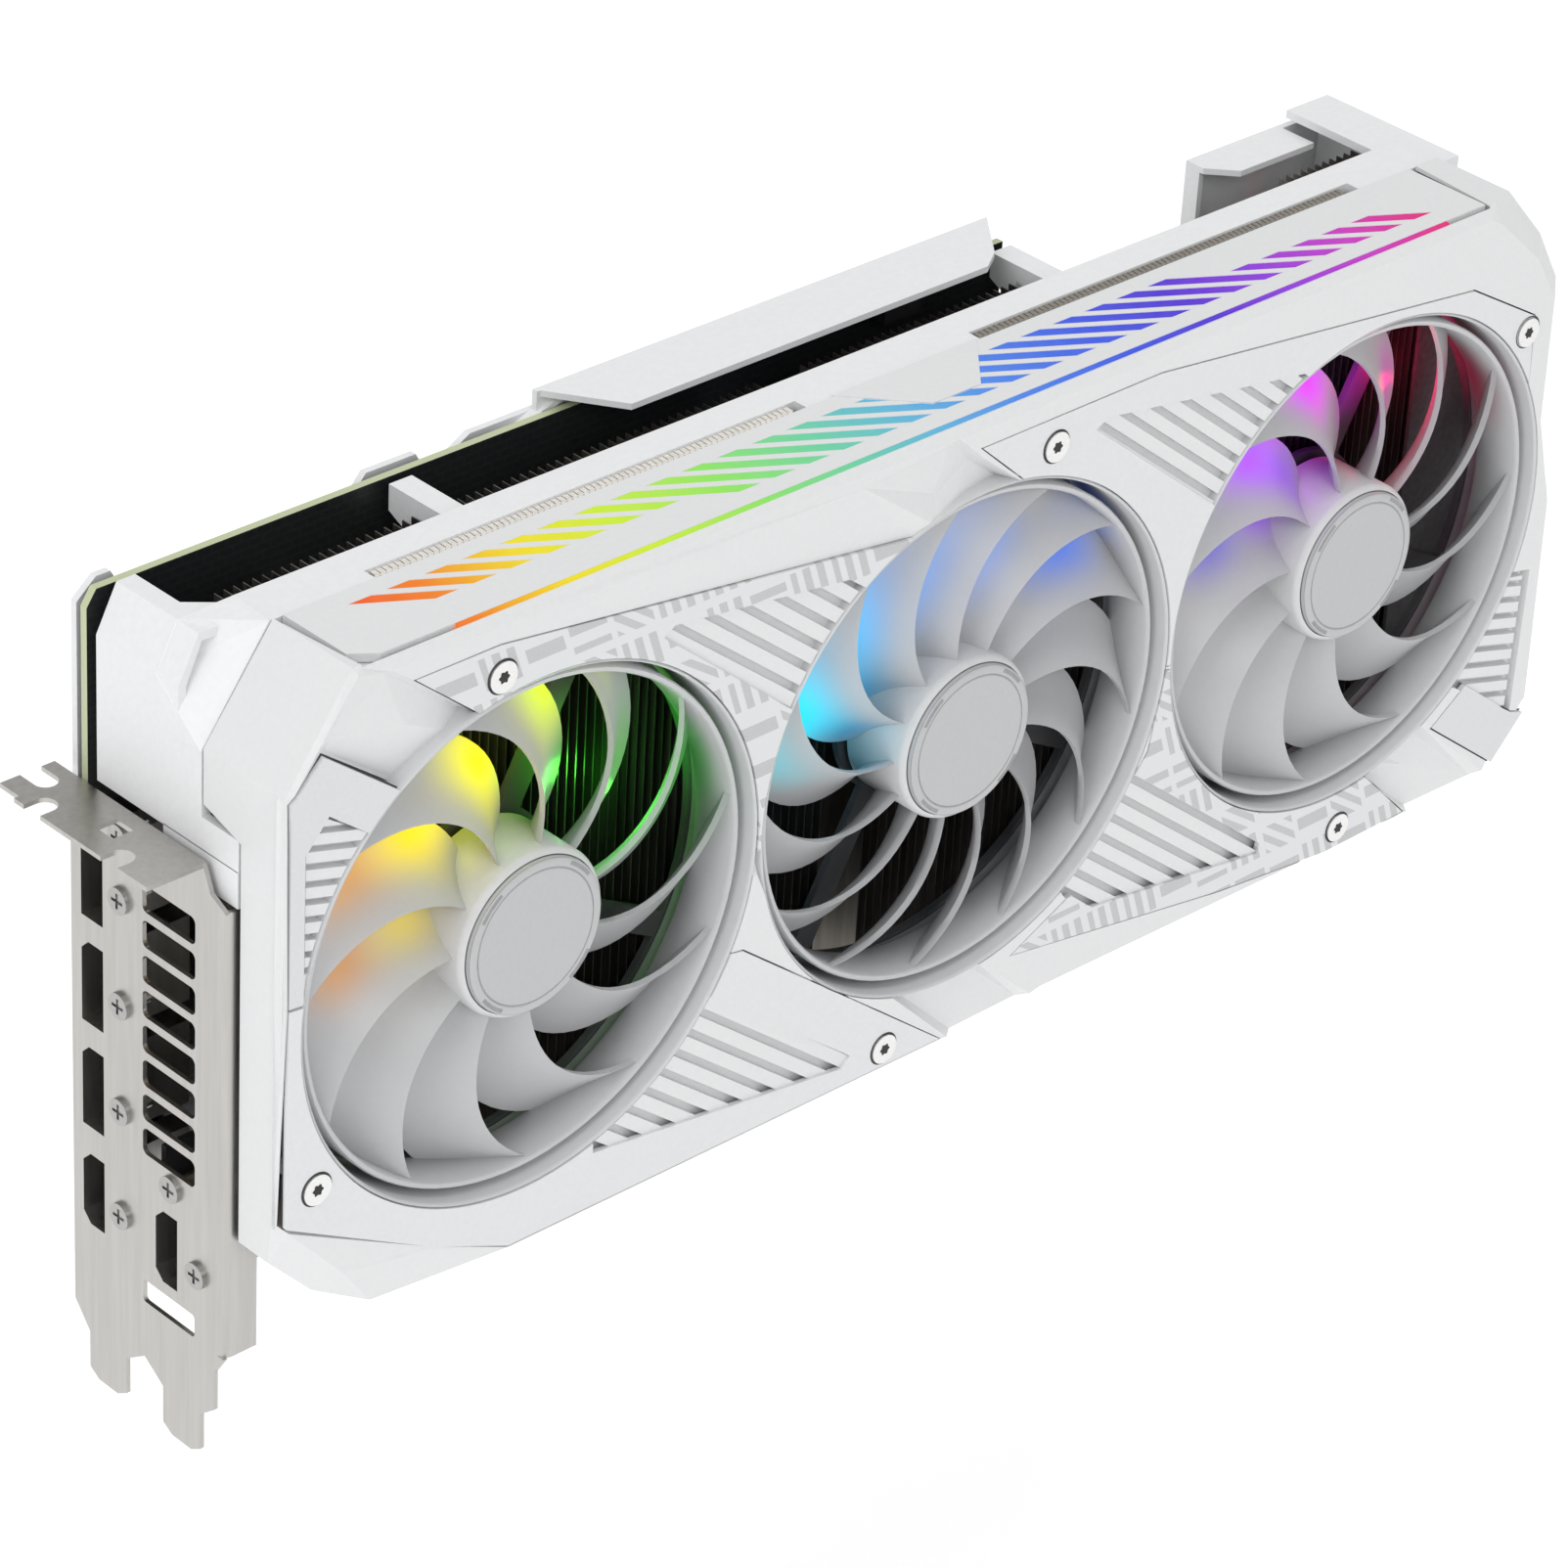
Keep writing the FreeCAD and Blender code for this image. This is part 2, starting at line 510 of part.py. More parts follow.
# ---- fans ----------------------------------------------------------------------------------------
def blade(turn, count):
    """One swept blade from the hub to the tip ring, its rear edge lagging its front edge."""
    sections = []
    width = BLADE_COVER * 360.0 / count
    root = HUB_R - BLADE_BITE
    tip = RING_R - RING_WALL / 2
    for i in range(BLADE_STATIONS):
        t = i / (BLADE_STATIONS - 1)
        radius = root + t * (tip - root)
        sweep = BLADE_SWEEP * t ** BLADE_BEND
        lead = math.radians(turn * sweep)
        trail = math.radians(turn * (sweep - width))
        points = []
        for angle, y in ((lead, BLADE_FRONT_Y), (trail, BLADE_BACK_Y - BLADE_THICK), (trail, BLADE_BACK_Y),
                         (lead, BLADE_FRONT_Y + BLADE_THICK)):
            points.append(V(radius * math.cos(angle), y, radius * math.sin(angle)))
        sections.append(Part.makePolygon(points + points[:1]))
    return Part.makeLoft(sections, True, True)


def fan_rotor(x, turn, count):
    """Hub cup, blades and tip ring moulded in one."""
    hub = rod_y(0, 0, HUB_R, HUB_FRONT_Y, HUB_BACK_Y)
    cavity = rod_y(0, 0, HUB_R - HUB_WALL, HUB_FRONT_Y + HUB_WALL, HUB_BACK_Y + 1)
    ring = tube_y(0, 0, RING_R - RING_WALL, RING_R, RING_FRONT_Y, RING_BACK_Y)
    single = blade(turn, count)
    blades = []
    for i in range(count):
        copy = single.copy()
        copy.rotate(V(0, 0, 0), V(0, 1, 0), 360.0 * i / count)
        blades.append(copy)
    rotor = hub.fuse(blades + [ring]).cut(cavity)
    rotor = rotor.cut(rod_y(0, 0, SHAFT_R, HUB_FRONT_Y - 1, HUB_FRONT_Y + HUB_WALL + 1))
    rotor.translate(V(x, 0, 0))
    return largest(rotor)


def fan_cap(x):
    """Flat disc with a shallow groove over the hub."""
    disc = rod_y(x, 0, CAP_R, CAP_FRONT_Y, HUB_FRONT_Y)
    return disc.cut(tube_y(x, 0, CAP_R - 1.6, CAP_R - 1.2, CAP_FRONT_Y - 1, CAP_FRONT_Y + 0.3))


def fan_shaft(x):
    """Steel pin fixed in the hub."""
    return rod_y(x, 0, SHAFT_R, HUB_FRONT_Y, MOUNT_Y - 0.5)


def fan_stator(x):
    """Motor core with nine coil poles round the sleeve."""
    core = tube_y(x, 0, SLEEVE_R + SHAFT_FIT, SLEEVE_R + CORE_WALL, STATOR_FRONT_Y, STATOR_BACK_Y)
    for i in range(POLES):
        pole = box(SLEEVE_R + CORE_WALL / 2, STATOR_R, STATOR_FRONT_Y + 1, STATOR_BACK_Y - 1, -POLE_W / 2,
                   POLE_W / 2)
        pole.rotate(V(0, 0, 0), V(0, 1, 0), 360.0 / POLES * i)
        pole.translate(V(x, 0, 0))
        core = core.fuse(pole)
    return core


def fan_mount(x):
    """Plate with four arms behind the rotor, carrying the bearing sleeve."""
    y0, y1 = MOUNT_Y, MOUNT_Y + MOUNT_THICK
    outer = min(APERTURE_R + DUCT_WALL, (FAN_X[1] - FAN_X[0]) / 2 - MOUNT_RING_GAP)
    plate = rod_y(x, 0, MOUNT_DISC_R, y0, y1)
    for angle in MOUNT_ARM_ANGLES:
        arm = box(MOUNT_DISC_R - 2, outer - 0.5, y0, y1, -MOUNT_ARM_W / 2, MOUNT_ARM_W / 2)
        arm.rotate(V(0, 0, 0), V(0, 1, 0), angle)
        arm.translate(V(x, 0, 0))
        plate = plate.fuse(arm)
    plate = plate.fuse(tube_y(x, 0, outer - 1.6, outer, y0, y1))
    sleeve = rod_y(x, 0, SLEEVE_R, STATOR_FRONT_Y, y0 + 0.2)
    bore = rod_y(x, 0, SHAFT_R + SHAFT_FIT, STATOR_FRONT_Y - 1, y0)
    return plate.fuse(sleeve).cut(bore)


# ---- cooler --------------------------------------------------------------------------------------
def pipe_heights():
    """Heights of the heat pipes, spread about the processor."""
    return [CHIP_Z + (i - (PIPE_COUNT - 1) / 2) * PIPE_PITCH for i in range(PIPE_COUNT)]


def fin_sheet(low_back):
    """One cooling fin with the pipes' holes; low_back drops its rear corner under the power sockets."""
    shoulder_y = FRAME_BACK_Y - FIN_SHOULDER
    outline = [(FIN_FRONT_Y, FIN_BOTTOM_Z), (FIN_BACK_Y, FIN_BOTTOM_Z)]
    if low_back:
        outline += [(FIN_BACK_Y, POWER_BOTTOM_Z - FIN_GAP), (POWER_Y0 - FIN_GAP, POWER_BOTTOM_Z - FIN_GAP),
                    (POWER_Y0 - FIN_GAP, FIN_TOP_Z - FIN_STEP), (shoulder_y, FIN_TOP_Z - FIN_STEP)]
    else:
        outline += [(FIN_BACK_Y, FIN_TOP_Z - FIN_SILL), (FRAME_BACK_Y + CLEAR, FIN_TOP_Z - FIN_SILL),
                    (FRAME_BACK_Y + CLEAR, FIN_TOP_Z - FIN_STEP), (shoulder_y, FIN_TOP_Z - FIN_STEP)]
    outline += [(shoulder_y, FIN_TOP_Z), (FIN_FRONT_Y, FIN_TOP_Z)]
    fin = side_plate(outline, 0, FIN_THICK)
    for z in pipe_heights():
        fin = fin.cut(Part.makeCylinder(PIPE_R + PIPE_FIT, 2, V(-1, PIPE_Y, z), V(1, 0, 0)))
    return largest(fin)


def fin_stack(x_from, x_to):
    """Row of separate fins between two stations."""
    fins = []
    plain = fin_sheet(False)
    lowered = fin_sheet(True)
    power_end = POWER_X0 + POWER_COUNT * POWER_STEP
    count = int((x_to - x_from) / FIN_PITCH)
    for i in range(count):
        x = x_from + i * FIN_PITCH
        near_power = POWER_X0 - FIN_GAP < x < power_end + FIN_GAP
        fin = (lowered if near_power else plain).copy()
        fin.translate(V(x, 0, 0))
        fins.append(fin)
    return Part.makeCompound(fins)


def heat_pipes():
    """Straight nickel-plated pipes through both fin stacks."""
    pipes = []
    for z in pipe_heights():
        pipe = Part.makeCylinder(PIPE_R, FIN_X1 - FIN_X0 - 4, V(FIN_X0 + 2, PIPE_Y, z), V(1, 0, 0))
        pipes.append(pipe)
    return Part.makeCompound(pipes)


def cold_plate():
    """Base block between the pipes and the processor."""
    return box(CHIP_X - BASE_HALF_X, CHIP_X + BASE_HALF_X, BASE_FRONT_Y, BASE_BACK_Y,
               CHIP_Z - BASE_HALF_Z, CHIP_Z + BASE_HALF_Z)


# ---- board and what sits on it -------------------------------------------------------------------
def board_holes():
    """Spots of the four cooler screws."""
    return [(CHIP_X + sx * 31.0, CHIP_Z + sz * 31.0) for sx in (-1, 1) for sz in (-1, 1)]


def circuit_board():
    """Main board with the keyed contact edge and a lowered ledge for the power sockets."""
    ledge_x = POWER_X0 - 2.5
    outline = [(BOARD_X0, BOARD_BOTTOM_Z + 8), (BOARD_X0 + 6, BOARD_BOTTOM_Z),
               (EDGE_X0 - 1.8, BOARD_BOTTOM_Z),
               (EDGE_X0 - 1.8, BOARD_BOTTOM_Z + 1.2), (EDGE_X0, BOARD_BOTTOM_Z + 1.2), (EDGE_X0,
                                                                                        EDGE_BOTTOM_Z + 0.6),
               (EDGE_X0 + 0.6, EDGE_BOTTOM_Z), (EDGE_X0 + EDGE_SHORT, EDGE_BOTTOM_Z),
               (EDGE_X0 + EDGE_SHORT, BOARD_BOTTOM_Z - 0.4), (EDGE_X0 + EDGE_SHORT + EDGE_KEY,
                                                              BOARD_BOTTOM_Z - 0.4),
               (EDGE_X0 + EDGE_SHORT + EDGE_KEY, EDGE_BOTTOM_Z), (EDGE_X1 - 0.6, EDGE_BOTTOM_Z),
               (EDGE_X1, EDGE_BOTTOM_Z + 0.6), (EDGE_X1, BOARD_BOTTOM_Z + 1.0), (EDGE_X1 + 1.6,
                                                                                 BOARD_BOTTOM_Z + 1.0),
               (EDGE_X1 + 1.6, BOARD_BOTTOM_Z - 4.0), (EDGE_X1 + 5.0, BOARD_BOTTOM_Z - 4.0),
               (EDGE_X1 + 7.0, BOARD_BOTTOM_Z), (BOARD_X1, BOARD_BOTTOM_Z), (BOARD_X1, SOCKET_LEDGE_Z),
               (ledge_x + 4, SOCKET_LEDGE_Z), (ledge_x, SOCKET_LEDGE_Z + 4), (ledge_x, BOARD_TOP_Z),
               (BOARD_X0 + 2, BOARD_TOP_Z), (BOARD_X0, BOARD_TOP_Z - 3)]
    board = front_plate(outline, BOARD_FACE_Y, BOARD_FACE_Y + BOARD_THICK)
    for x, z in board_holes():
        board = board.cut(rod_y(x, z, 1.7, BOARD_FACE_Y - 1, BOARD_FACE_Y + BOARD_THICK + 1))
    return board


def gold_contacts():
    """Gold pads on both faces of the contact edge."""
    pads = []
    spans = ((EDGE_X0, EDGE_SHORT), (EDGE_X0 + EDGE_SHORT + EDGE_KEY, EDGE_LONG))
    faces = ((BOARD_FACE_Y - PAD_THICK, BOARD_FACE_Y),
             (BOARD_FACE_Y + BOARD_THICK, BOARD_FACE_Y + BOARD_THICK + PAD_THICK))
    for start, length in spans:
        count = int((length - 0.6) / PAD_PITCH)
        first = start + (length - (count - 1) * PAD_PITCH - PAD_WIDTH) / 2
        for i in range(count):
            x = first + i * PAD_PITCH
            for y0, y1 in faces:
                pads.append(box(x, x + PAD_WIDTH, y0, y1, EDGE_BOTTOM_Z + 0.8,
                                EDGE_BOTTOM_Z + 0.8 + PAD_HEIGHT))
    return Part.makeCompound(pads)


def block_on_board(x, z, width, height, front_y):
    """Component block standing on the board's front."""
    return box(x - width / 2, x + width / 2, front_y, BOARD_FACE_Y, z - height / 2, z + height / 2)


def memory_spots():
    """Places of the memory chips round the processor."""
    spots = []
    for dz in (-18.0, 0.0, 18.0):
        spots.append((CHIP_X - 33.5, CHIP_Z + dz * 0.8))
        spots.append((CHIP_X + 33.5, CHIP_Z + dz * 0.8))
    for dx in (-16.0, 0.0, 16.0):
        spots.append((CHIP_X + dx, CHIP_Z + 32.0))
    return spots


def memory_chips():
    """Flat memory packages round the processor."""
    wide, tall = MEMORY_SIZE
    return Part.makeCompound([block_on_board(x, z, wide - 1.5, tall - 1.0, MEMORY_FRONT_Y) for x,
                              z in memory_spots()])


def thermal_pads():
    """Soft pads between the memory and the base block."""
    wide, tall = MEMORY_SIZE
    return Part.makeCompound([box(x - wide / 2 + 1.5, x + wide / 2 - 1.5, BASE_BACK_Y, MEMORY_FRONT_Y,
                                  z - tall / 2 + 1, z + tall / 2 - 1) for x, z in memory_spots()])


def choke_spots():
    """Places of the power chokes in two columns."""
    left = [(CHIP_X - 60.0 * SX, -45.0 * SZ + 11.0 * SZ * i) for i in range(9)]
    right = [(CHIP_X + 62.0 * SX, -45.0 * SZ + 11.0 * SZ * i) for i in range(8)]
    return left + right


def chokes():
    """Moulded power chokes."""
    return Part.makeCompound([block_on_board(x, z, 8.0, 8.0, 44.6) for x, z in choke_spots()])


def power_stages():
    """Flat power-stage chips beside each choke."""
    return Part.makeCompound([block_on_board(x + 9.0, z, 5.0, 6.0, 50.1) for x, z in choke_spots()])


def capacitors():
    """Round solid capacitors beside the chokes."""
    cans = []
    for x, z in choke_spots():
        cans.append(rod_y(x - 8.6, z, 3.0, 44.8, BOARD_FACE_Y))
    return Part.makeCompound(cans)


def cooler_screws():
    """Four screws through the tension plate and board into the base block."""
    screws = []
    for x, z in board_holes():
        shank = rod_y(x, z, 1.4, BASE_BACK_Y, BOARD_FACE_Y + BOARD_THICK + 1.2)
        head = rod_y(x, z, 2.6, BOARD_FACE_Y + BOARD_THICK + 1.2, BOARD_FACE_Y + BOARD_THICK + 2.1)
        screws.append(shank.fuse(head))
    return Part.makeCompound(screws)


def tension_plate():
    """Cross-shaped spring plate on the back of the board."""
    y0 = BOARD_FACE_Y + BOARD_THICK + 0.4
    plate = None
    for angle in (45.0, -45.0):
        arm = box(-47.0, 47.0, y0, y0 + 0.8, -4.5, 4.5)
        arm.rotate(V(0, 0, 0), V(0, 1, 0), angle)
        plate = arm if plate is None else plate.fuse(arm)
    plate = plate.fuse(rod_y(0, 0, 14.0, y0, y0 + 0.8)).cut(rod_y(0, 0, 9.0, y0 - 1, y0 + 2))
    plate.translate(V(CHIP_X, 0, CHIP_Z))
    for x, z in board_holes():
        plate = plate.cut(rod_y(x, z, 1.5, y0 - 1, y0 + 2))
    return plate


# ---- backplate -----------------------------------------------------------------------------------
BACK_SCREWS = [(14.0, 48.0), (14.0, -52.0), (78.0, -56.0), (150.0, -56.0), (204.0, 48.0), (200.0, -56.0),
               (262.0, -56.0)]


def backplate():
    """Metal plate behind the board with a window at the tail."""
    outline = [(PLATE_X0, PLATE_BOTTOM_Z + 10), (PLATE_X0 + 8, PLATE_BOTTOM_Z), (EDGE_X0 - 6, PLATE_BOTTOM_Z),
               (EDGE_X0 - 3, BOARD_BOTTOM_Z + 8), (EDGE_X1 + 8, BOARD_BOTTOM_Z + 8), (EDGE_X1 + 11,
                                                                                      PLATE_BOTTOM_Z),
               (PLATE_X1 - 10, PLATE_BOTTOM_Z), (PLATE_X1, PLATE_BOTTOM_Z + 10), (PLATE_X1, TAIL_CREST_Z),
               (TAIL_CREST_X0, TAIL_CREST_Z), (TAIL_CREST_X0, SOCKET_LEDGE_Z - 12), (POWER_X0 - 1,
                                                                                     SOCKET_LEDGE_Z - 12),
               (CREST_X1 - 3, SOCKET_LEDGE_Z), (CREST_X1 - 3, PLATE_TOP_Z + 3.5), (CREST_X0 - 14,
                                                                                   PLATE_TOP_Z + 3.5),
               (CREST_X0 - 20, PLATE_TOP_Z), (77.0 * SX, PLATE_TOP_Z), (75.0 * SX, PLATE_TOP_Z + 3.5),
               (64.0 * SX, PLATE_TOP_Z + 3.5), (61.0 * SX, PLATE_TOP_Z), (PLATE_X0 + 9, PLATE_TOP_Z),
               (PLATE_X0 + 7, PLATE_TOP_Z + 3.5), (PLATE_X0 + 4, PLATE_TOP_Z + 3.5), (PLATE_X0, PLATE_TOP_Z)]
    plate = front_plate(outline, PLATE_FRONT_Y, PLATE_FRONT_Y + PLATE_THICK)
    window = [(BOARD_X1 - 38, -20.0 * SZ), (BOARD_X1 + 4, -36.0 * SZ), (BOARD_X1 + 12, -32.0 * SZ),
              (BOARD_X1 + 12, 14.0 * SZ),
              (BOARD_X1 - 34, 22.0 * SZ)]
    plate = plate.cut(front_plate(window, PLATE_FRONT_Y - 1, PLATE_FRONT_Y + 3))
    slots = []
    for i in range(6):
        x = BOARD_X0 + 150 * SX + 9.0 * i
        slots.append(front_plate([(x, -30 * SZ), (x + 4, -30 * SZ), (x + 14, 5 * SZ), (x + 10, 5 * SZ)],
                                 PLATE_FRONT_Y - 1, PLATE_FRONT_Y + 3))
    plate = plate.cut(slots[0].fuse(slots[1:]))
    for x, z in drawn(BACK_SCREWS):
        boss = rod_y(x, z, 3.0, BOARD_FACE_Y + BOARD_THICK, PLATE_FRONT_Y)
        plate = plate.fuse(boss).cut(rod_y(x, z, 1.5, BOARD_FACE_Y, PLATE_FRONT_Y + 3))
    return largest(plate)


def backplate_screws():
    """Flat screws holding the backplate to the board."""
    screws = []
    back = PLATE_FRONT_Y + PLATE_THICK
    for x, z in drawn(BACK_SCREWS):
        screws.append(rod_y(x, z, 1.4, BOARD_FACE_Y + BOARD_THICK,
                            back).fuse(rod_y(x, z, 2.6, back, back + 0.7)))
    return Part.makeCompound(screws)


def crest():
    """Raised flange of the backplate that leans over the board's top edge."""
    back_y = PLATE_FRONT_Y
    top = [(CREST_X0, back_y), (CREST_X0 + 10, CREST_FRONT_Y), (CREST_X1 - 14, CREST_FRONT_Y),
           (CREST_X1 - 9, CREST_FRONT_Y + 3.3), (CREST_X1, back_y)]
    shelf = flat_plate(top, CREST_TOP_Z - CREST_THICK, CREST_TOP_Z)
    web = box(CREST_X0, CREST_X1 - 3, back_y - 1.2, back_y, PLATE_TOP_Z - 6, CREST_TOP_Z)
    ramp_points = [(CREST_X0 + 10, CREST_TOP_Z), (CREST_X0 - 10, PLATE_TOP_Z),
                   (CREST_X0 - 10, PLATE_TOP_Z - 1.4),
                   (CREST_X0 + 10, CREST_TOP_Z - CREST_THICK)]
    wire_height = BOARD_FACE_Y + BOARD_THICK + CLEAR
    ramp = front_plate(ramp_points, wire_height, back_y)
    return shelf.fuse(web).fuse(ramp).removeSplitter()


def tail_flange():
    """Bent flange over the tail window of the backplate."""
    top = [(TAIL_CREST_X0, PLATE_FRONT_Y), (TAIL_CREST_X0, PLATE_FRONT_Y - 3),
           (TAIL_CREST_X0 + 5, TAIL_CREST_FRONT_Y),
           (TAIL_BLOCK_X0 - CLEAR, TAIL_CREST_FRONT_Y), (TAIL_BLOCK_X0 - CLEAR, PLATE_FRONT_Y)]
    shelf = flat_plate(top, TAIL_CREST_Z - 1.2, TAIL_CREST_Z)
    lip = box(TAIL_CREST_X0, TAIL_CREST_X0 + 1.2, BOARD_FACE_Y + BOARD_THICK + CLEAR, PLATE_FRONT_Y,
              SOCKET_LEDGE_Z - 8, TAIL_CREST_Z)
    return shelf.fuse(lip).removeSplitter()


# ---- bracket and display sockets -----------------------------------------------------------------
def rounded_slot(y0, y1, z0, z1, radius):
    """Window through the bracket with rounded corners."""
    slot = box(-1, SHEET + 1, y0, y1, z0, z1)
    return slot.makeFillet(radius, [e for e in slot.Edges if abs(e.tangentAt(e.FirstParameter).x) > 0.9])


def port_outline(y0, y1, z_mid, height, cut, both):
    """Socket outline clipped on the board side: at its upper corner, or at both corners."""
    z0, z1 = z_mid - height / 2, z_mid + height / 2
    low = [(y1 - cut, z0), (y1, z0 + cut)] if both else [(y1, z0)]
    return [(y0, z0)] + low + [(y1, z1 - cut), (y1 - cut, z1), (y0, z1)]


def display_places():
    """Fan-side edge and height of the three display sockets."""
    return [(PORT_Y0, TAB_Z + z) for z in PORT_Z]


def video_places():
    """Fan-side edge and height of the two video sockets."""
    return [(PORT_Y0, TAB_Z + VIDEO_Z), (VIDEO_2_Y, TAB_Z + VIDEO_Z - 1)]


def bent_lip(z0, z1):
    """Lip folded back round a bend along the bracket's fan-side edge."""
    centre = V(LIP_BEND, BRACKET_Y0 + LIP_BEND, z0)
    bend = Part.makeCylinder(LIP_BEND, z1 - z0,
                             centre).cut(Part.makeCylinder(LIP_BEND - SHEET, z1 - z0, centre))
    bend = bend.common(box(0, LIP_BEND, BRACKET_Y0, BRACKET_Y0 + LIP_BEND, z0, z1))
    return bend.fuse(box(LIP_BEND, LIP_LENGTH, BRACKET_Y0, BRACKET_Y0 + SHEET, z0, z1))


def bracket():
    """Stainless mounting bracket with screw tab, lip and slot tongues."""
    z_low = TAB_Z + SHEET - BRACKET_TOTAL
    z_shoulder = z_low + TONGUE_LENGTH
    first = BRACKET_Y1 - 9.21
    second = first - SLOT_PITCH
    half = TONGUE_W / 2
    outline = [(BRACKET_Y1, TAB_Z + SHEET), (BRACKET_Y1, z_shoulder + 4), (first + half, z_shoulder - 1),
               (first + half, z_low + 1.5),
               (first + half - 2.5, z_low), (first - half + 2.5, z_low), (first - half,
                                                                          z_low + 1.5), (first - half,
                                                                                         z_shoulder - 1),
               ((first + second) / 2, z_shoulder + 2.5), (second + half, z_shoulder - 1), (second + half,
                                                                                           z_low + 1.5),
               (second + half - 2.5, z_low), (second - half + 2.5, z_low), (second - half, z_low + 1.5),
               (second - half, z_shoulder - 1), (BRACKET_Y0 + 2.6, z_shoulder + 2), (BRACKET_Y0 + 2.6,
                                                                                     z_shoulder + 10),
               (BRACKET_Y0, z_shoulder + 14), (BRACKET_Y0, TAB_Z - 6), (BRACKET_Y0 + 4,
                                                                        TAB_Z - 4), (TAB_Y0, TAB_Z + SHEET)]
    sheet = side_plate(outline, 0, SHEET)
    for y, z in display_places():
        sheet = sheet.cut(side_plate(port_outline(y, y + PORT_WIDE, z, PORT_HEIGHT, PORT_CLIP, False), -1, 2))
    for y, z in video_places():
        sheet = sheet.cut(side_plate(port_outline(y, y + PORT_WIDE, z, VIDEO_HEIGHT, VIDEO_CLIP, True),
                                     -1, 2))
    for i in range(VENT_COUNT):
        top = TAB_Z + VENT_TOP - VENT_PITCH * i
        sheet = sheet.cut(rounded_slot(VENT_Y0, VENT_Y1, top - VENT_HEIGHT, top, 1.2))
    sheet = sheet.cut(rounded_slot(VENT_Y0, VENT_Y1, TAB_Z - 95.0, TAB_Z - 90.4, 0.8))
    tab = box(-TAB_REACH, SHEET, TAB_Y0, BRACKET_Y1, TAB_Z, TAB_Z + SHEET)
    tab = tab.fuse(box(-TAB_REACH + 1, SHEET, BRACKET_Y1 - 1, TAB_Y1, TAB_Z, TAB_Z + SHEET))
    for y in (NOTCH_Y, NOTCH_Y - SLOT_PITCH):
        tab = tab.cut(box(-TAB_REACH - 1, -TAB_REACH + NOTCH_DEPTH - NOTCH_W / 2, y - NOTCH_W / 2,
                          y + NOTCH_W / 2,
                          TAB_Z - 1, TAB_Z + 2))
        tab = tab.cut(Part.makeCylinder(NOTCH_W / 2, 3,
                                        V(-TAB_REACH + NOTCH_DEPTH - NOTCH_W / 2, y, TAB_Z - 1)))
    tab = tab.cut(box(END_NOTCH_X - NOTCH_W / 2, END_NOTCH_X + NOTCH_W / 2, TAB_Y1 - 4, TAB_Y1 + 1,
                      TAB_Z - 1, TAB_Z + 2))
    tab = tab.cut(Part.makeCylinder(NOTCH_W / 2, 3, V(END_NOTCH_X, TAB_Y1 - 4, TAB_Z - 1)))
    tab = tab.cut(box(-6.6, -2.4, 33.4, 38.0, TAB_Z - 1, TAB_Z + 2))
    lip_z0, lip_z1 = z_shoulder + 14, TAB_Z - 6
    corner = box(-1, SHEET + 1, BRACKET_Y0 - 1, BRACKET_Y0 + LIP_BEND, lip_z0, lip_z1)
    whole = sheet.cut(corner).fuse(tab).fuse(bent_lip(lip_z0, lip_z1))
    for y, z in BRACKET_SCREWS:
        whole = whole.cut(Part.makeCylinder(1.5, 4, V(-1, y, TAB_Z + z), V(1, 0, 0)))
    return whole.removeSplitter()


def bracket_screws():
    """Cross-head screws that tie the bracket to the sockets."""
    screws = []
    for y, z in BRACKET_SCREWS:
        head = Part.makeCylinder(BRACKET_SCREW_R, 0.8, V(-0.8, y, TAB_Z + z), V(1, 0, 0))
        shank = Part.makeCylinder(1.4, 5.5, V(0, y, TAB_Z + z), V(1, 0, 0))
        cross = box(-1.0, -0.3, y - 1.5, y + 1.5, TAB_Z + z - 0.3, TAB_Z + z + 0.3)
        cross = cross.fuse(box(-1.0, -0.3, y - 0.3, y + 0.3, TAB_Z + z - 1.5, TAB_Z + z + 1.5))
        screws.append(head.fuse(shank).cut(cross))
    return Part.makeCompound(screws)


def port_shell(y0, z_mid, height, corner, both):
    """Metal can of one socket, open through the bracket."""
    y1 = y0 + PORT_WIDE
    around = port_outline(y0 - PORT_WALL, y1 + PORT_WALL, z_mid, height + 2 * PORT_WALL, corner, both)
    mouth = port_outline(y0, y1, z_mid, height, corner, both)
    return side_plate(around, SHEET, PORT_DEPTH).cut(side_plate(mouth, SHEET - 1, PORT_DEPTH - PORT_BACK))


def port_tongue(y0, z_mid, height):
    """Contact tongue with its insulating wall inside one socket."""
    half = height / 2 - 2.4
    wall_x = PORT_DEPTH - 2 * PORT_BACK
    wall = box(wall_x, PORT_DEPTH - PORT_BACK, y0 + 0.1, y0 + PORT_WIDE - 0.1, z_mid - half, z_mid + half)
    return wall.fuse(box(TONGUE_BACK, wall_x, y0 + 2.6, y0 + 3.6, z_mid - half, z_mid + half))


def socket_bridge():
    """Small riser board behind the second video socket."""
    y, z = video_places()[1]
    back = y + PORT_WIDE + PORT_WALL
    return box(2.5, PORT_DEPTH + 2, back, back + 1.2, z - 9.0, z + 18.0)


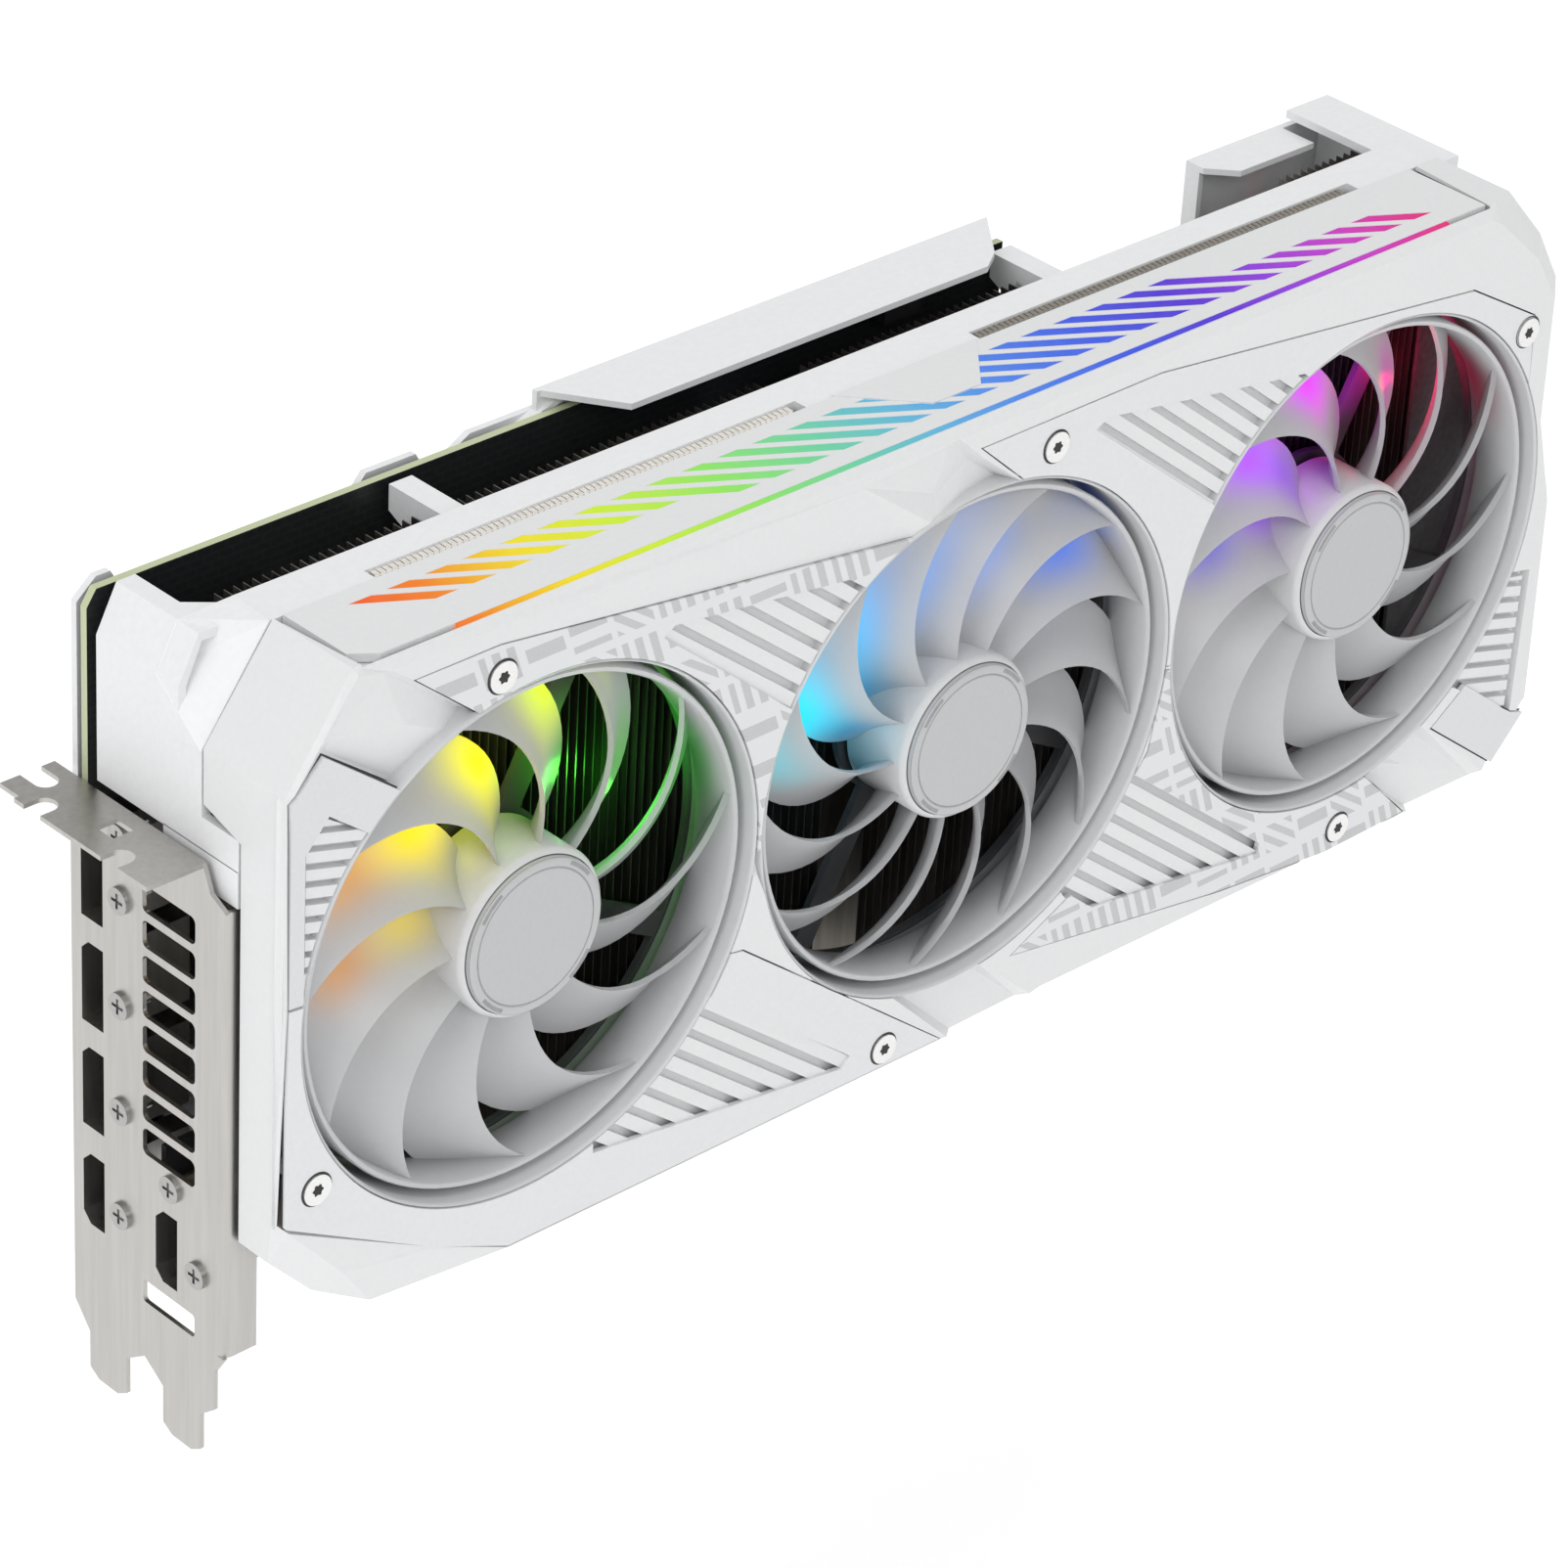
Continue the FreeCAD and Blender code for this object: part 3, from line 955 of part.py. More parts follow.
# ---- power sockets and switch --------------------------------------------------------------------
def power_sockets():
    """Three eight-way power sockets with square wells."""
    housings = []
    for n in range(POWER_COUNT):
        x0 = POWER_X0 + n * POWER_STEP
        body = box(x0, x0 + POWER_W, POWER_Y0, BOARD_FACE_Y, POWER_BOTTOM_Z, POWER_TOP_Z)
        body = body.cut(box(x0 + 0.9, x0 + POWER_W - 0.9, POWER_Y0 + 0.9, BOARD_FACE_Y - 0.9,
                            POWER_TOP_Z - POWER_WELL,
                            POWER_TOP_Z + 1))
        clip = box(x0 + POWER_W / 2 - 2, x0 + POWER_W / 2 + 2, POWER_Y0 - 0.9, POWER_Y0, POWER_TOP_Z - 3,
                   POWER_TOP_Z - 1)
        housings.append(body.fuse(clip))
    return Part.makeCompound(housings)


def power_pins():
    """Metal pins standing in the power sockets' wells."""
    pins = []
    for n in range(POWER_COUNT):
        x0 = POWER_X0 + n * POWER_STEP + POWER_W / 2
        for column in range(4):
            for row in range(2):
                x = x0 + (column - 1.5) * POWER_PIN_PITCH
                y = (POWER_Y0 + BOARD_FACE_Y) / 2 + (row - 0.5) * POWER_PIN_PITCH
                pins.append(box(x - 0.6, x + 0.6, y - 0.6, y + 0.6, POWER_TOP_Z - POWER_WELL,
                                POWER_TOP_Z - 5.4))
    return Part.makeCompound(pins)


def switch_body():
    """Housing of the firmware selector with a slot for its slider."""
    body = box(SWITCH_X - SWITCH_L / 2, SWITCH_X + SWITCH_L / 2, SWITCH_Y0, BOARD_FACE_Y,
               SWITCH_TOP_Z - SWITCH_H, SWITCH_TOP_Z)
    half = (KNOB_W + KNOB_TRAVEL) / 2 + 0.1
    mid_y = (SWITCH_Y0 + BOARD_FACE_Y) / 2
    slot = box(SWITCH_X - half, SWITCH_X + half, mid_y - 0.9, mid_y + 0.9, SWITCH_TOP_Z - 1.6,
               SWITCH_TOP_Z + 1)
    return body.cut(slot)


def switch_slider():
    """Small slider, drawn at the end of its travel nearer the bracket."""
    mid_y = (SWITCH_Y0 + BOARD_FACE_Y) / 2
    x = SWITCH_X - KNOB_TRAVEL / 2
    return box(x - KNOB_W / 2, x + KNOB_W / 2, mid_y - 0.8, mid_y + 0.8, SWITCH_TOP_Z - 1.5,
               SWITCH_TOP_Z + 1.6)


def export_all():
    """Build every part and write it to its own file."""
    os.makedirs("parts", exist_ok=True)
    write("front_shroud", front_shroud())
    write("printed_panel_upper", front_panel(PRINTED_LEFT, [UPPER_LEFT_SLATS]))
    write("printed_panel_lower", front_panel(PRINTED_RIGHT, [LOWER_RIGHT_SLATS]))
    write("plain_panel_lower", front_panel(PLAIN_LEFT, [LOWER_LEFT_SLATS]))
    write("plain_panel_upper", front_panel(PLAIN_RIGHT, [UPPER_RIGHT_SLATS]))
    write("left_inlay", front_panel(LEFT_INLAY, [LEFT_SLATS]))
    write("corner_inlay", front_panel(CORNER_INLAY, [RIGHT_SLATS]))
    write("louvre_slats", slat_bars())
    write("shroud_screws", shroud_screws())
    write("light_bar_cover", light_bar_cover())
    write("stripe_diffusers", stripe_diffusers())
    write("line_diffuser", line_diffuser())
    write("badge_plate", badge_plate())
    write("led_strip", led_strip())
    write("mid_frame", mid_frame())
    for n, x in enumerate(FAN_X):
        tag = "fan_%d_" % (n + 1)
        write(tag + "rotor", fan_rotor(x, FAN_TURN[n], FAN_BLADES[n]))
        write(tag + "cap", fan_cap(x))
        write(tag + "shaft", fan_shaft(x))
        write(tag + "stator", fan_stator(x))
        write(tag + "mount", fan_mount(x))
    write("fin_stack_front", fin_stack(FIN_X0, FIN_BREAK[0]))
    write("fin_stack_rear", fin_stack(FIN_BREAK[1], FIN_X1))
    write("heat_pipes", heat_pipes())
    write("cold_plate", cold_plate())
    write("processor_die", box(CHIP_X - DIE_HALF, CHIP_X + DIE_HALF, DIE_FRONT_Y, PACKAGE_FRONT_Y,
                               CHIP_Z - DIE_HALF, CHIP_Z + DIE_HALF))
    write("processor_package",
          block_on_board(CHIP_X, CHIP_Z, 2 * PACKAGE_HALF, 2 * PACKAGE_HALF, PACKAGE_FRONT_Y))
    write("circuit_board", circuit_board())
    write("gold_contacts", gold_contacts())
    write("memory_chips", memory_chips())
    write("thermal_pads", thermal_pads())
    write("chokes", chokes())
    write("power_stages", power_stages())
    write("capacitors", capacitors())
    write("tension_plate", tension_plate())
    write("cooler_screws", cooler_screws())
    write("backplate", backplate())
    write("backplate_screws", backplate_screws())
    write("backplate_crest", crest())
    write("backplate_tail_flange", tail_flange())
    write("mounting_bracket", bracket())
    write("bracket_screws", bracket_screws())
    write("display_socket_shells", Part.makeCompound([port_shell(y, z, PORT_HEIGHT, PORT_CLIP, False)
                                                      for y, z in display_places()]))
    write("display_socket_tongues", Part.makeCompound([port_tongue(y, z, PORT_HEIGHT)
                                                       for y, z in display_places()]))
    write("video_socket_shells", Part.makeCompound([port_shell(y, z, VIDEO_HEIGHT, VIDEO_CLIP, True)
                                                    for y, z in video_places()]))
    write("video_socket_tongues", Part.makeCompound([port_tongue(y, z, VIDEO_HEIGHT)
                                                     for y, z in video_places()]))
    write("socket_riser_board", socket_bridge())
    write("power_sockets", power_sockets())
    write("power_pins", power_pins())
    write("switch_body", switch_body())
    write("switch_slider", switch_slider())


export_all()
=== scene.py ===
import json
import math

import bmesh
import bpy
from mathutils import Matrix, Vector
from mathutils.geometry import delaunay_2d_cdt

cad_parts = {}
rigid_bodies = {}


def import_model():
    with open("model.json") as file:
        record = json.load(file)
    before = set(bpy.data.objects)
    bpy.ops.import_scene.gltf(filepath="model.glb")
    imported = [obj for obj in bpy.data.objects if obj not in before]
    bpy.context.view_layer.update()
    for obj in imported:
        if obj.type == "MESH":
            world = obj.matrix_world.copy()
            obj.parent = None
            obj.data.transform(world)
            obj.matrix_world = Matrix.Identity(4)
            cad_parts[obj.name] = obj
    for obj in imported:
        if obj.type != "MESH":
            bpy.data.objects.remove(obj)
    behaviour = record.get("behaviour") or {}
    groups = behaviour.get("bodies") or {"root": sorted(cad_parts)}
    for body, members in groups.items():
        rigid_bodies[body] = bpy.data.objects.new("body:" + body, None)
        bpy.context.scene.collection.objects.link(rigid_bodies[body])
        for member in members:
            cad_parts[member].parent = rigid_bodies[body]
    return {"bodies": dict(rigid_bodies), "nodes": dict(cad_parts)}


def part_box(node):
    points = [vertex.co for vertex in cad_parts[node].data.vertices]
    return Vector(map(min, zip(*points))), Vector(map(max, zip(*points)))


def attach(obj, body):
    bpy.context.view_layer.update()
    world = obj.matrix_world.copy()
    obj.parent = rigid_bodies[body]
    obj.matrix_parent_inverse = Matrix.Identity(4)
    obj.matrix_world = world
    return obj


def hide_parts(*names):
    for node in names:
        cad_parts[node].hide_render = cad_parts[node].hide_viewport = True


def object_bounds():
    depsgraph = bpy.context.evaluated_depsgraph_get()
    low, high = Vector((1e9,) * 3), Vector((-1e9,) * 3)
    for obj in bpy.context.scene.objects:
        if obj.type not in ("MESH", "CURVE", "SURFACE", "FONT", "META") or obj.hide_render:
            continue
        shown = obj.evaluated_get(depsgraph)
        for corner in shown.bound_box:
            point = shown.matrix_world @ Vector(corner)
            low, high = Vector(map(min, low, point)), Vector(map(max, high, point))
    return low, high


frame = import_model()
cad_low, cad_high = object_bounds()
nodes = frame["nodes"]


# ---- Circuit board and its slot contacts ---------------------------------------------------------
# The main board is black glass-fibre laminate, sawn to shape, so its edge shows the pale green core.
# Its lower edge carries gold-plated contacts and plugs into the computer's slot.

# Drawing positions run from the bracket face, the fan plane and the fan centres, in millimetres.
DRAWING_ZERO = Vector((-0.08715, -0.051885, 0.0741))


def at(x, y, z):
    """Drawing position in the card's own frame, in metres."""
    return DRAWING_ZERO + Vector((x, y, z)) * 0.001


def new_finish(name, rough, colour, metal=0.0):
    """Start a finish and hand back its node tree and shader."""
    finish = bpy.data.materials.new(name)
    finish.use_nodes = True
    tree = finish.node_tree
    shader = tree.nodes["Principled BSDF"]
    shader.inputs["Roughness"].default_value = rough
    shader.inputs["Base Color"].default_value = (*colour, 1)
    shader.inputs["Metallic"].default_value = metal
    return finish, tree, shader


def grain(tree, scale, detail=3.0, stretch=(1, 1, 1)):
    """Fine noise laid through the part in its own coordinates."""
    spot = tree.nodes.new("ShaderNodeTexCoord")
    turn = tree.nodes.new("ShaderNodeMapping")
    turn.inputs["Scale"].default_value = stretch
    noise = tree.nodes.new("ShaderNodeTexNoise")
    noise.inputs["Scale"].default_value = scale
    noise.inputs["Detail"].default_value = detail
    tree.links.new(spot.outputs["Object"], turn.inputs["Vector"])
    tree.links.new(turn.outputs["Vector"], noise.inputs["Vector"])
    return noise


def mottle(tree, shader, noise, dark, light, socket="Base Color"):
    """Let the noise vary the colour between two close tones."""
    ramp = tree.nodes.new("ShaderNodeValToRGB")
    ramp.color_ramp.elements[0].position = 0.3
    ramp.color_ramp.elements[0].color = (*dark, 1)
    ramp.color_ramp.elements[1].position = 0.7
    ramp.color_ramp.elements[1].color = (*light, 1)
    tree.links.new(noise.outputs["Fac"], ramp.inputs["Fac"])
    tree.links.new(ramp.outputs["Color"], shader.inputs[socket])
    return ramp


def roughen(tree, shader, noise, low, high):
    """Let the noise vary the gloss."""
    spread = tree.nodes.new("ShaderNodeMapRange")
    spread.inputs["To Min"].default_value = low
    spread.inputs["To Max"].default_value = high
    tree.links.new(noise.outputs["Fac"], spread.inputs["Value"])
    tree.links.new(spread.outputs["Result"], shader.inputs["Roughness"])


def pit(tree, shader, noise, depth_mm, strength=0.4):
    """Raise a fine surface texture from the noise."""
    bump = tree.nodes.new("ShaderNodeBump")
    bump.inputs["Strength"].default_value = strength
    bump.inputs["Distance"].default_value = depth_mm * 0.001
    tree.links.new(noise.outputs["Fac"], bump.inputs["Height"])
    tree.links.new(bump.outputs["Normal"], shader.inputs["Normal"])


def grained(name, rough, tone, dark, light, scale, detail=3, stretch=(1, 1, 1), metal=0.0, gloss=None,
            pits=None):
    """Finish whose one noise varies its tone and, where given, its gloss range and its fine pits."""
    finish, tree, shader = new_finish(name, rough, tone, metal)
    noise = grain(tree, scale, detail, stretch)
    mottle(tree, shader, noise, dark, light)
    if gloss:
        roughen(tree, shader, noise, *gloss)
    if pits:
        pit(tree, shader, noise, *pits)
    return finish


def coat(node, finish, edge_mm=0.0, segments=2, angle=30):
    """Give a carried-over part its finish and break its sharp edges."""
    part = nodes[node]
    part.data.materials.clear()
    part.data.materials.append(finish)
    part.data.polygons.foreach_set("material_index", [0] * len(part.data.polygons))
    if edge_mm:
        edge = part.modifiers.new("broken_edges", "BEVEL")
        edge.width = edge_mm * 0.001
        edge.segments = segments
        edge.limit_method = "ANGLE"
        edge.angle_limit = math.radians(angle)
        edge.harden_normals = False
    return part


def solder_mask():
    """Black lacquer over copper tracks, with the pale core on sawn edges."""
    finish, tree, shader = new_finish("black_solder_mask", 0.35, (0.012, 0.013, 0.014))
    speck = grain(tree, 900, 4)
    tracks = tree.nodes.new("ShaderNodeTexBrick")
    tracks.inputs["Scale"].default_value = 160
    tracks.inputs["Mortar Size"].default_value = 0.035
    tracks.inputs["Color1"].default_value = (0.012, 0.013, 0.014, 1)
    tracks.inputs["Color2"].default_value = (0.013, 0.014, 0.015, 1)
    tracks.inputs["Mortar"].default_value = (0.018, 0.019, 0.02, 1)
    spot = tree.nodes.new("ShaderNodeTexCoord")
    lay = tree.nodes.new("ShaderNodeMapping")
    lay.inputs["Rotation"].default_value = (math.radians(90), 0, 0)
    tree.links.new(spot.outputs["Object"], lay.inputs["Vector"])
    tree.links.new(lay.outputs["Vector"], tracks.inputs["Vector"])
    normal = tree.nodes.new("ShaderNodeNewGeometry")
    split = tree.nodes.new("ShaderNodeSeparateXYZ")
    tree.links.new(normal.outputs["True Normal"], split.inputs["Vector"])
    flat = tree.nodes.new("ShaderNodeMath")
    flat.operation = "ABSOLUTE"
    tree.links.new(split.outputs["Y"], flat.inputs[0])
    edge = tree.nodes.new("ShaderNodeMath")
    edge.operation = "LESS_THAN"
    edge.inputs[1].default_value = 0.5
    tree.links.new(flat.outputs["Value"], edge.inputs[0])
    pick = tree.nodes.new("ShaderNodeMix")
    pick.data_type = "RGBA"
    pick.inputs["B"].default_value = (0.52, 0.57, 0.36, 1)
    tree.links.new(edge.outputs["Value"], pick.inputs["Factor"])
    tree.links.new(tracks.outputs["Color"], pick.inputs["A"])
    tree.links.new(pick.outputs["Result"], shader.inputs["Base Color"])
    roughen(tree, shader, speck, 0.28, 0.5)
    pit(tree, shader, tracks, 0.03, 0.3)
    return finish


gold = grained("gold_plate", 0.25, (0.83, 0.6, 0.22), (0.78, 0.54, 0.18), (0.9, 0.68, 0.3), 1200, metal=1.0,
               gloss=(0.18, 0.35))
coat("circuit_board", solder_mask())
coat("gold_contacts", gold)


# ---- Processor, memory and power parts -----------------------------------------------------------
# The processor's bare die sits on a green laminate package; black memory chips stand round it.
# Grey moulded chokes, small power chips and round cans stand in two columns beside them.

def spun_metal(name, tone, low, high):
    """Satin drawn metal."""
    return grained(name, 0.3, tone, tuple(c * 0.9 for c in tone), tuple(min(1, c * 1.08) for c in tone),
                   700, stretch=(1, 1, 14), metal=1.0, gloss=(low, high))


chip_resin = grained("chip_resin", 0.55, (0.02, 0.02, 0.022), (0.016, 0.016, 0.018), (0.032, 0.032, 0.035),
                     2500, 4, pits=(0.02,))
choke_powder = grained("choke_powder", 0.6, (0.12, 0.12, 0.125), (0.09, 0.09, 0.095), (0.17, 0.17, 0.175),
                       1800, 5, pits=(0.04,))
can_metal = spun_metal("can_aluminium", (0.7, 0.7, 0.71), 0.25, 0.4)
die_silicon = grained("die_silicon", 0.08, (0.25, 0.27, 0.31), (0.2, 0.22, 0.28), (0.32, 0.33, 0.36), 60, 2,
                      metal=0.9)
package_laminate = grained("package_laminate", 0.4, (0.03, 0.12, 0.06), (0.025, 0.1, 0.05),
                           (0.045, 0.15, 0.075), 1500)
silicone_pad = grained("silicone_pad", 0.75, (0.45, 0.48, 0.52), (0.4, 0.43, 0.47), (0.52, 0.55, 0.58),
                       1600, 4, pits=(0.05,))
coat("memory_chips", chip_resin, 0.15)
coat("power_stages", chip_resin, 0.1)
coat("chokes", choke_powder, 0.4)
coat("capacitors", can_metal, 0.3)
coat("processor_die", die_silicon, 0.05)
coat("processor_package", package_laminate, 0.1)
coat("thermal_pads", silicone_pad, 0.2)


# ---- Cooler: base block, heat pipes and fins -----------------------------------------------------
# A nickel-plated block on the processor feeds round pipes that run through rows of thin fins.
# The fins are stamped from dark sheet and pressed onto the pipes.

nickel = spun_metal("nickel_plate", (0.68, 0.65, 0.61), 0.15, 0.3)
coat("heat_pipes", nickel)
coat("cold_plate", nickel, 0.4)


def new_piece(name, mesh, finishes, body="card", smooth_deg=None):
    """Put a finished mesh in the scene, with its finishes, on its body."""
    piece = bpy.data.objects.new(name, mesh)
    bpy.context.scene.collection.objects.link(piece)
    for finish in finishes:
        mesh.materials.append(finish)
    if smooth_deg is not None:
        mesh.shade_smooth()
        mesh.set_sharp_from_angle(angle=math.radians(smooth_deg))
    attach(piece, body)
    return piece


def block(bm, near_spots, far_spots, slot=0):
    """Closed block between two matching outlines, in drawing millimetres."""
    near, far = [[bm.verts.new(at(*spot)) for spot in spots] for spots in (near_spots, far_spots)]
    faces = [bm.faces.new(near[::-1]), bm.faces.new(far)]
    for k in range(len(near)):
        m = (k + 1) % len(near)
        faces.append(bm.faces.new((near[k], near[m], far[m], far[k])))
    for face in faces:
        face.material_index = slot


def solid_along_x(bm, outline, x0, x1):
    """Closed block whose y-z outline is pushed from x0 to x1."""
    block(bm, [(x0, y, z) for y, z in outline], [(x1, y, z) for y, z in outline])


def finish_mesh(bm, name):
    """Turn the working mesh into a stored one with its faces outward."""
    bmesh.ops.recalc_face_normals(bm, faces=bm.faces)
    mesh = bpy.data.meshes.new(name)
    bm.to_mesh(mesh)
    bm.free()
    return mesh


def card_spot(node_box, corner):
    """Drawing position of a node's low (0) or high (1) corner."""
    return (node_box[corner] - DRAWING_ZERO) * 1000


def folded_edge(name, tone):
    """Bright folded edge of the fin stock."""
    return grained(name, 0.4, tone, tuple(c * 0.9 for c in tone), tuple(min(1, c * 1.1) for c in tone),
                   1500, metal=0.25, gloss=(0.32, 0.5))


fin_sheet = grained("fin_sheet", 0.4, (0.05, 0.05, 0.055), (0.09, 0.083, 0.074), (0.2, 0.185, 0.165), 300,
                    stretch=(1, 1, 0.1), metal=0.85, gloss=(0.3, 0.5))
tab_metal = folded_edge("fin_tab_metal", (0.8, 0.77, 0.72))
tab_shaded = folded_edge("fin_tab_shaded", (0.26, 0.24, 0.21))
FIN_PITCH, FIN_SHEET = 2.0, 0.22
RAIL_RECESS, RAIL_DEPTH = 2.6, 7.4      # how much lower the fins stand behind the rail, and under it
SUNK_FROM, SUNK_TO = 212.0, 274.2       # stretch where the fins leave room for the power sockets
SUNK_Y, SUNK_Z = 38.4, 30.0
TAB_PITCH, TAB_SHEET, TAB_LIFT, TAB_MARGIN = 1.26, 0.45, 2.5, 1.5
TAB_OUTLINE = ((0, 20.9), (0.95, 20.7), (1.1, 22.3), (1.62, 22.7), (1.7, 24.3), (0.75, 24.5), (0.62, 22.9),
               (0.12, 22.5))
rail_y = card_spot(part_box("mid_frame"), 0).y + 10.0
for node, (x0, x1), tab_finish in (("fin_stack_front", (38.4, 133.6), tab_metal),
                                   ("fin_stack_rear", (176.4, 274.6), tab_shaded)):
    low, high = card_spot(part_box(node), 0), card_spot(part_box(node), 1)
    stack = bmesh.new()
    under_rail, before_rail, tab_z = high.z - RAIL_DEPTH, rail_y - 2.5, high.z + TAB_LIFT
    foot = [(low.y, low.z), (high.y, low.z)]
    crown = [(before_rail, under_rail), (before_rail, high.z), (low.y, high.z)]
    tall = [*foot, (high.y, high.z - RAIL_RECESS), (rail_y + 0.3, high.z - RAIL_RECESS),
            (rail_y + 0.3, under_rail), *crown]
    sunk = [*foot, (high.y, SUNK_Z), (SUNK_Y, SUNK_Z), (SUNK_Y, under_rail), *crown]
    for k in range(int((high.x - low.x) / FIN_PITCH) + 1):
        x = low.x + k * FIN_PITCH
        if x + FIN_SHEET <= high.x:
            solid_along_x(stack, sunk if SUNK_FROM < x < SUNK_TO else tall, x, x + FIN_SHEET)
    # The fins' tops fold over and hook into each other under the rail's windows.
    for k in range(int((x1 - x0 - TAB_MARGIN) / TAB_PITCH)):
        hook = [(x0 + k * TAB_PITCH + dx, y) for dx, y in TAB_OUTLINE]
        block(stack, *[[(x, y, z) for x, y in hook] for z in (tab_z, tab_z + TAB_SHEET)], slot=1)
    fins = new_piece(node + "_folded", finish_mesh(stack, node + "_folded"), [fin_sheet, tab_finish])
    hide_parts(node)


# ---- Tension plate and cooler screws -------------------------------------------------------------
# A sprung steel plate behind the board pulls the cooler onto the processor.  Its screws pass through
# the board into the cooler.

spring_steel = spun_metal("spring_steel", (0.5, 0.5, 0.5), 0.3, 0.45)
screw_metal = spun_metal("screw_nickel", (0.42, 0.415, 0.405), 0.22, 0.38)
coat("tension_plate", spring_steel, 0.1)
coat("cooler_screws", screw_metal, 0.2)


# ---- Backplate -----------------------------------------------------------------------------------
# A stamped aluminium plate behind the board, powder-coated white, with a window at the tail.  It is
# screwed on from behind, and a crest and a tail flange lead over its top edge.

white_coat = grained("white_powder_coat", 0.42, (0.8, 0.81, 0.82), (0.785, 0.795, 0.805),
                     (0.82, 0.825, 0.83), 800, 4, gloss=(0.36, 0.5), pits=(0.02, 0.25))
coat("backplate", white_coat, 0.3)
coat("backplate_screws", screw_metal, 0.2)
coat("backplate_crest", white_coat, 0.25)
coat("backplate_tail_flange", white_coat, 0.25)


# ---- Mid-frame -----------------------------------------------------------------------------------
# A cast and painted frame ties the shroud to the board and wraps the bracket end of the cooler.
# Slanted facets lead from the ear by the board to the chamfered cheek behind the shroud.

coat("mid_frame", white_coat, 0.35)
shoulder = bmesh.new()
ear_low, ear_mid, ear_high = [shoulder.verts.new(at(x, 33.0, z))
                              for x, z in ((1.9, 45.0), (1.9, 55.3), (6.1, 63.9))]
cheek_low, cheek_high = [shoulder.verts.new(at(x, 21.4, z)) for x, z in ((1.9, 46.0), (15.9, 65.45))]
rail_corner = shoulder.verts.new(at(16.5, 31.2, 65.45))
for corners in ((cheek_low, ear_low, ear_mid), (cheek_low, ear_mid, cheek_high),
                (ear_mid, ear_high, cheek_high), (ear_high, rail_corner, cheek_high)):
    shoulder.faces.new(corners)
new_piece("frame_shoulder", finish_mesh(shoulder, "frame_shoulder"), [white_coat])
cheek_foot = bmesh.new()
solid_along_x(cheek_foot, [(11.9, 20.9), (31.2, 20.9), (31.2, 27.9), (11.9, 27.9)], 2.0, 3.6)
new_piece("cheek_foot", finish_mesh(cheek_foot, "cheek_foot"), [white_coat])


# ---- Bracket, display sockets and their screws ---------------------------------------------------
# Satin stainless sheet, folded at the tab and lip, with windows for air and for the sockets.  Cross
# screws beside the steel-shelled sockets fix it, and a small riser board carries the second row.

steel = grained("satin_stainless", 0.33, (0.5, 0.487, 0.465), (0.47, 0.457, 0.436), (0.53, 0.516, 0.494),
                900, stretch=(1, 1, 0.05), metal=1.0, gloss=(0.28, 0.42), pits=(0.01, 0.2))
nylon = grained("black_nylon", 0.45, (0.014, 0.014, 0.015), (0.011, 0.011, 0.012), (0.02, 0.02, 0.021),
                1500, pits=(0.02,))
coat("mounting_bracket", steel, 0.18)
coat("bracket_screws", screw_metal, 0.25)
coat("display_socket_shells", steel, 0.1)
coat("video_socket_shells", steel, 0.1)
coat("display_socket_tongues", nylon, 0.15)
coat("video_socket_tongues", nylon, 0.15)
coat("socket_riser_board", nylon, 0.1)


# ---- Power sockets and firmware switch -----------------------------------------------------------
# Two black nylon sockets with gold pins stand at the top edge for the supply's plugs.  A tiny slide
# switch with a white slider picks the firmware; the light bar's lamps sit on a white carrier strip.

coat("power_sockets", nylon, 0.25)
coat("power_pins", gold, 0.15)
coat("switch_body", nylon, 0.15)
white_nylon = grained("white_nylon", 0.4, (0.8, 0.8, 0.8), (0.76, 0.76, 0.76), (0.84, 0.84, 0.84),
                      1500)
coat("switch_slider", white_nylon, 0.12)
coat("led_strip", white_nylon, 0.1)


# ---- Fans ----------------------------------------------------------------------------------------
# Three moulded fans: a hub cup, swept cupped blades and a ring that joins their tips, in milky white
# plastic.  The middle fan is handed the other way.  Lamps behind them light the fins, and their glow
# on the plastic is painted on, with painted shade on the ring toward its rear.

FAN_X = (56.0, 158.25, 260.5)
FAN_BLADES = (11, 13, 11)
FAN_TURN = (1, -1, 1)
FAN_PHASE = (14.0, 180.0, 6.0)
HUB_R, RING_R, RING_WALL = 16.0, 48.4, 1.3
BLADE_COVER, TIP_TAPER = 0.86, 0.18     # share of the pitch that a blade covers, and what the tip loses
BLADE_ROOT, BLADE_TIP, BLADE_SWEEP, BLADE_CAMBER = 15.4, 47.4, 30.0, 0.13
CAP_EDGE = 14.9


def lathe(bm, x, profile, steps=96, slot=0, start=0.0, sweep=360.0):
    """Turn a closed (radius, y) profile about a fan's axis, wholly or through part of a turn."""
    whole = abs(sweep - 360.0) < 1e-6
    rings = []
    for k in range(steps if whole else steps + 1):
        turn = math.radians(start + sweep * k / steps)
        rings.append([bm.verts.new(at(x + r * math.cos(turn), y, r * math.sin(turn))) for r, y in profile])
    count = len(profile)
    for k in range(steps):
        one, two = rings[k], rings[(k + 1) % len(rings)]
        for p in range(count):
            q = (p + 1) % count
            bm.faces.new((one[p], one[q], two[q], two[p])).material_index = slot
    if not whole:
        bm.faces.new(rings[0]).material_index = slot
        bm.faces.new(rings[-1][::-1]).material_index = slot


def own_axes(tree, body=None):
    """Position in the piece's axes, or in its body's, whole and split into x, y and z."""
    place = tree.nodes.new("ShaderNodeTexCoord")
    place.object = body
    split = tree.nodes.new("ShaderNodeSeparateXYZ")
    tree.links.new(place.outputs["Object"], split.inputs["Vector"])
    return place, split


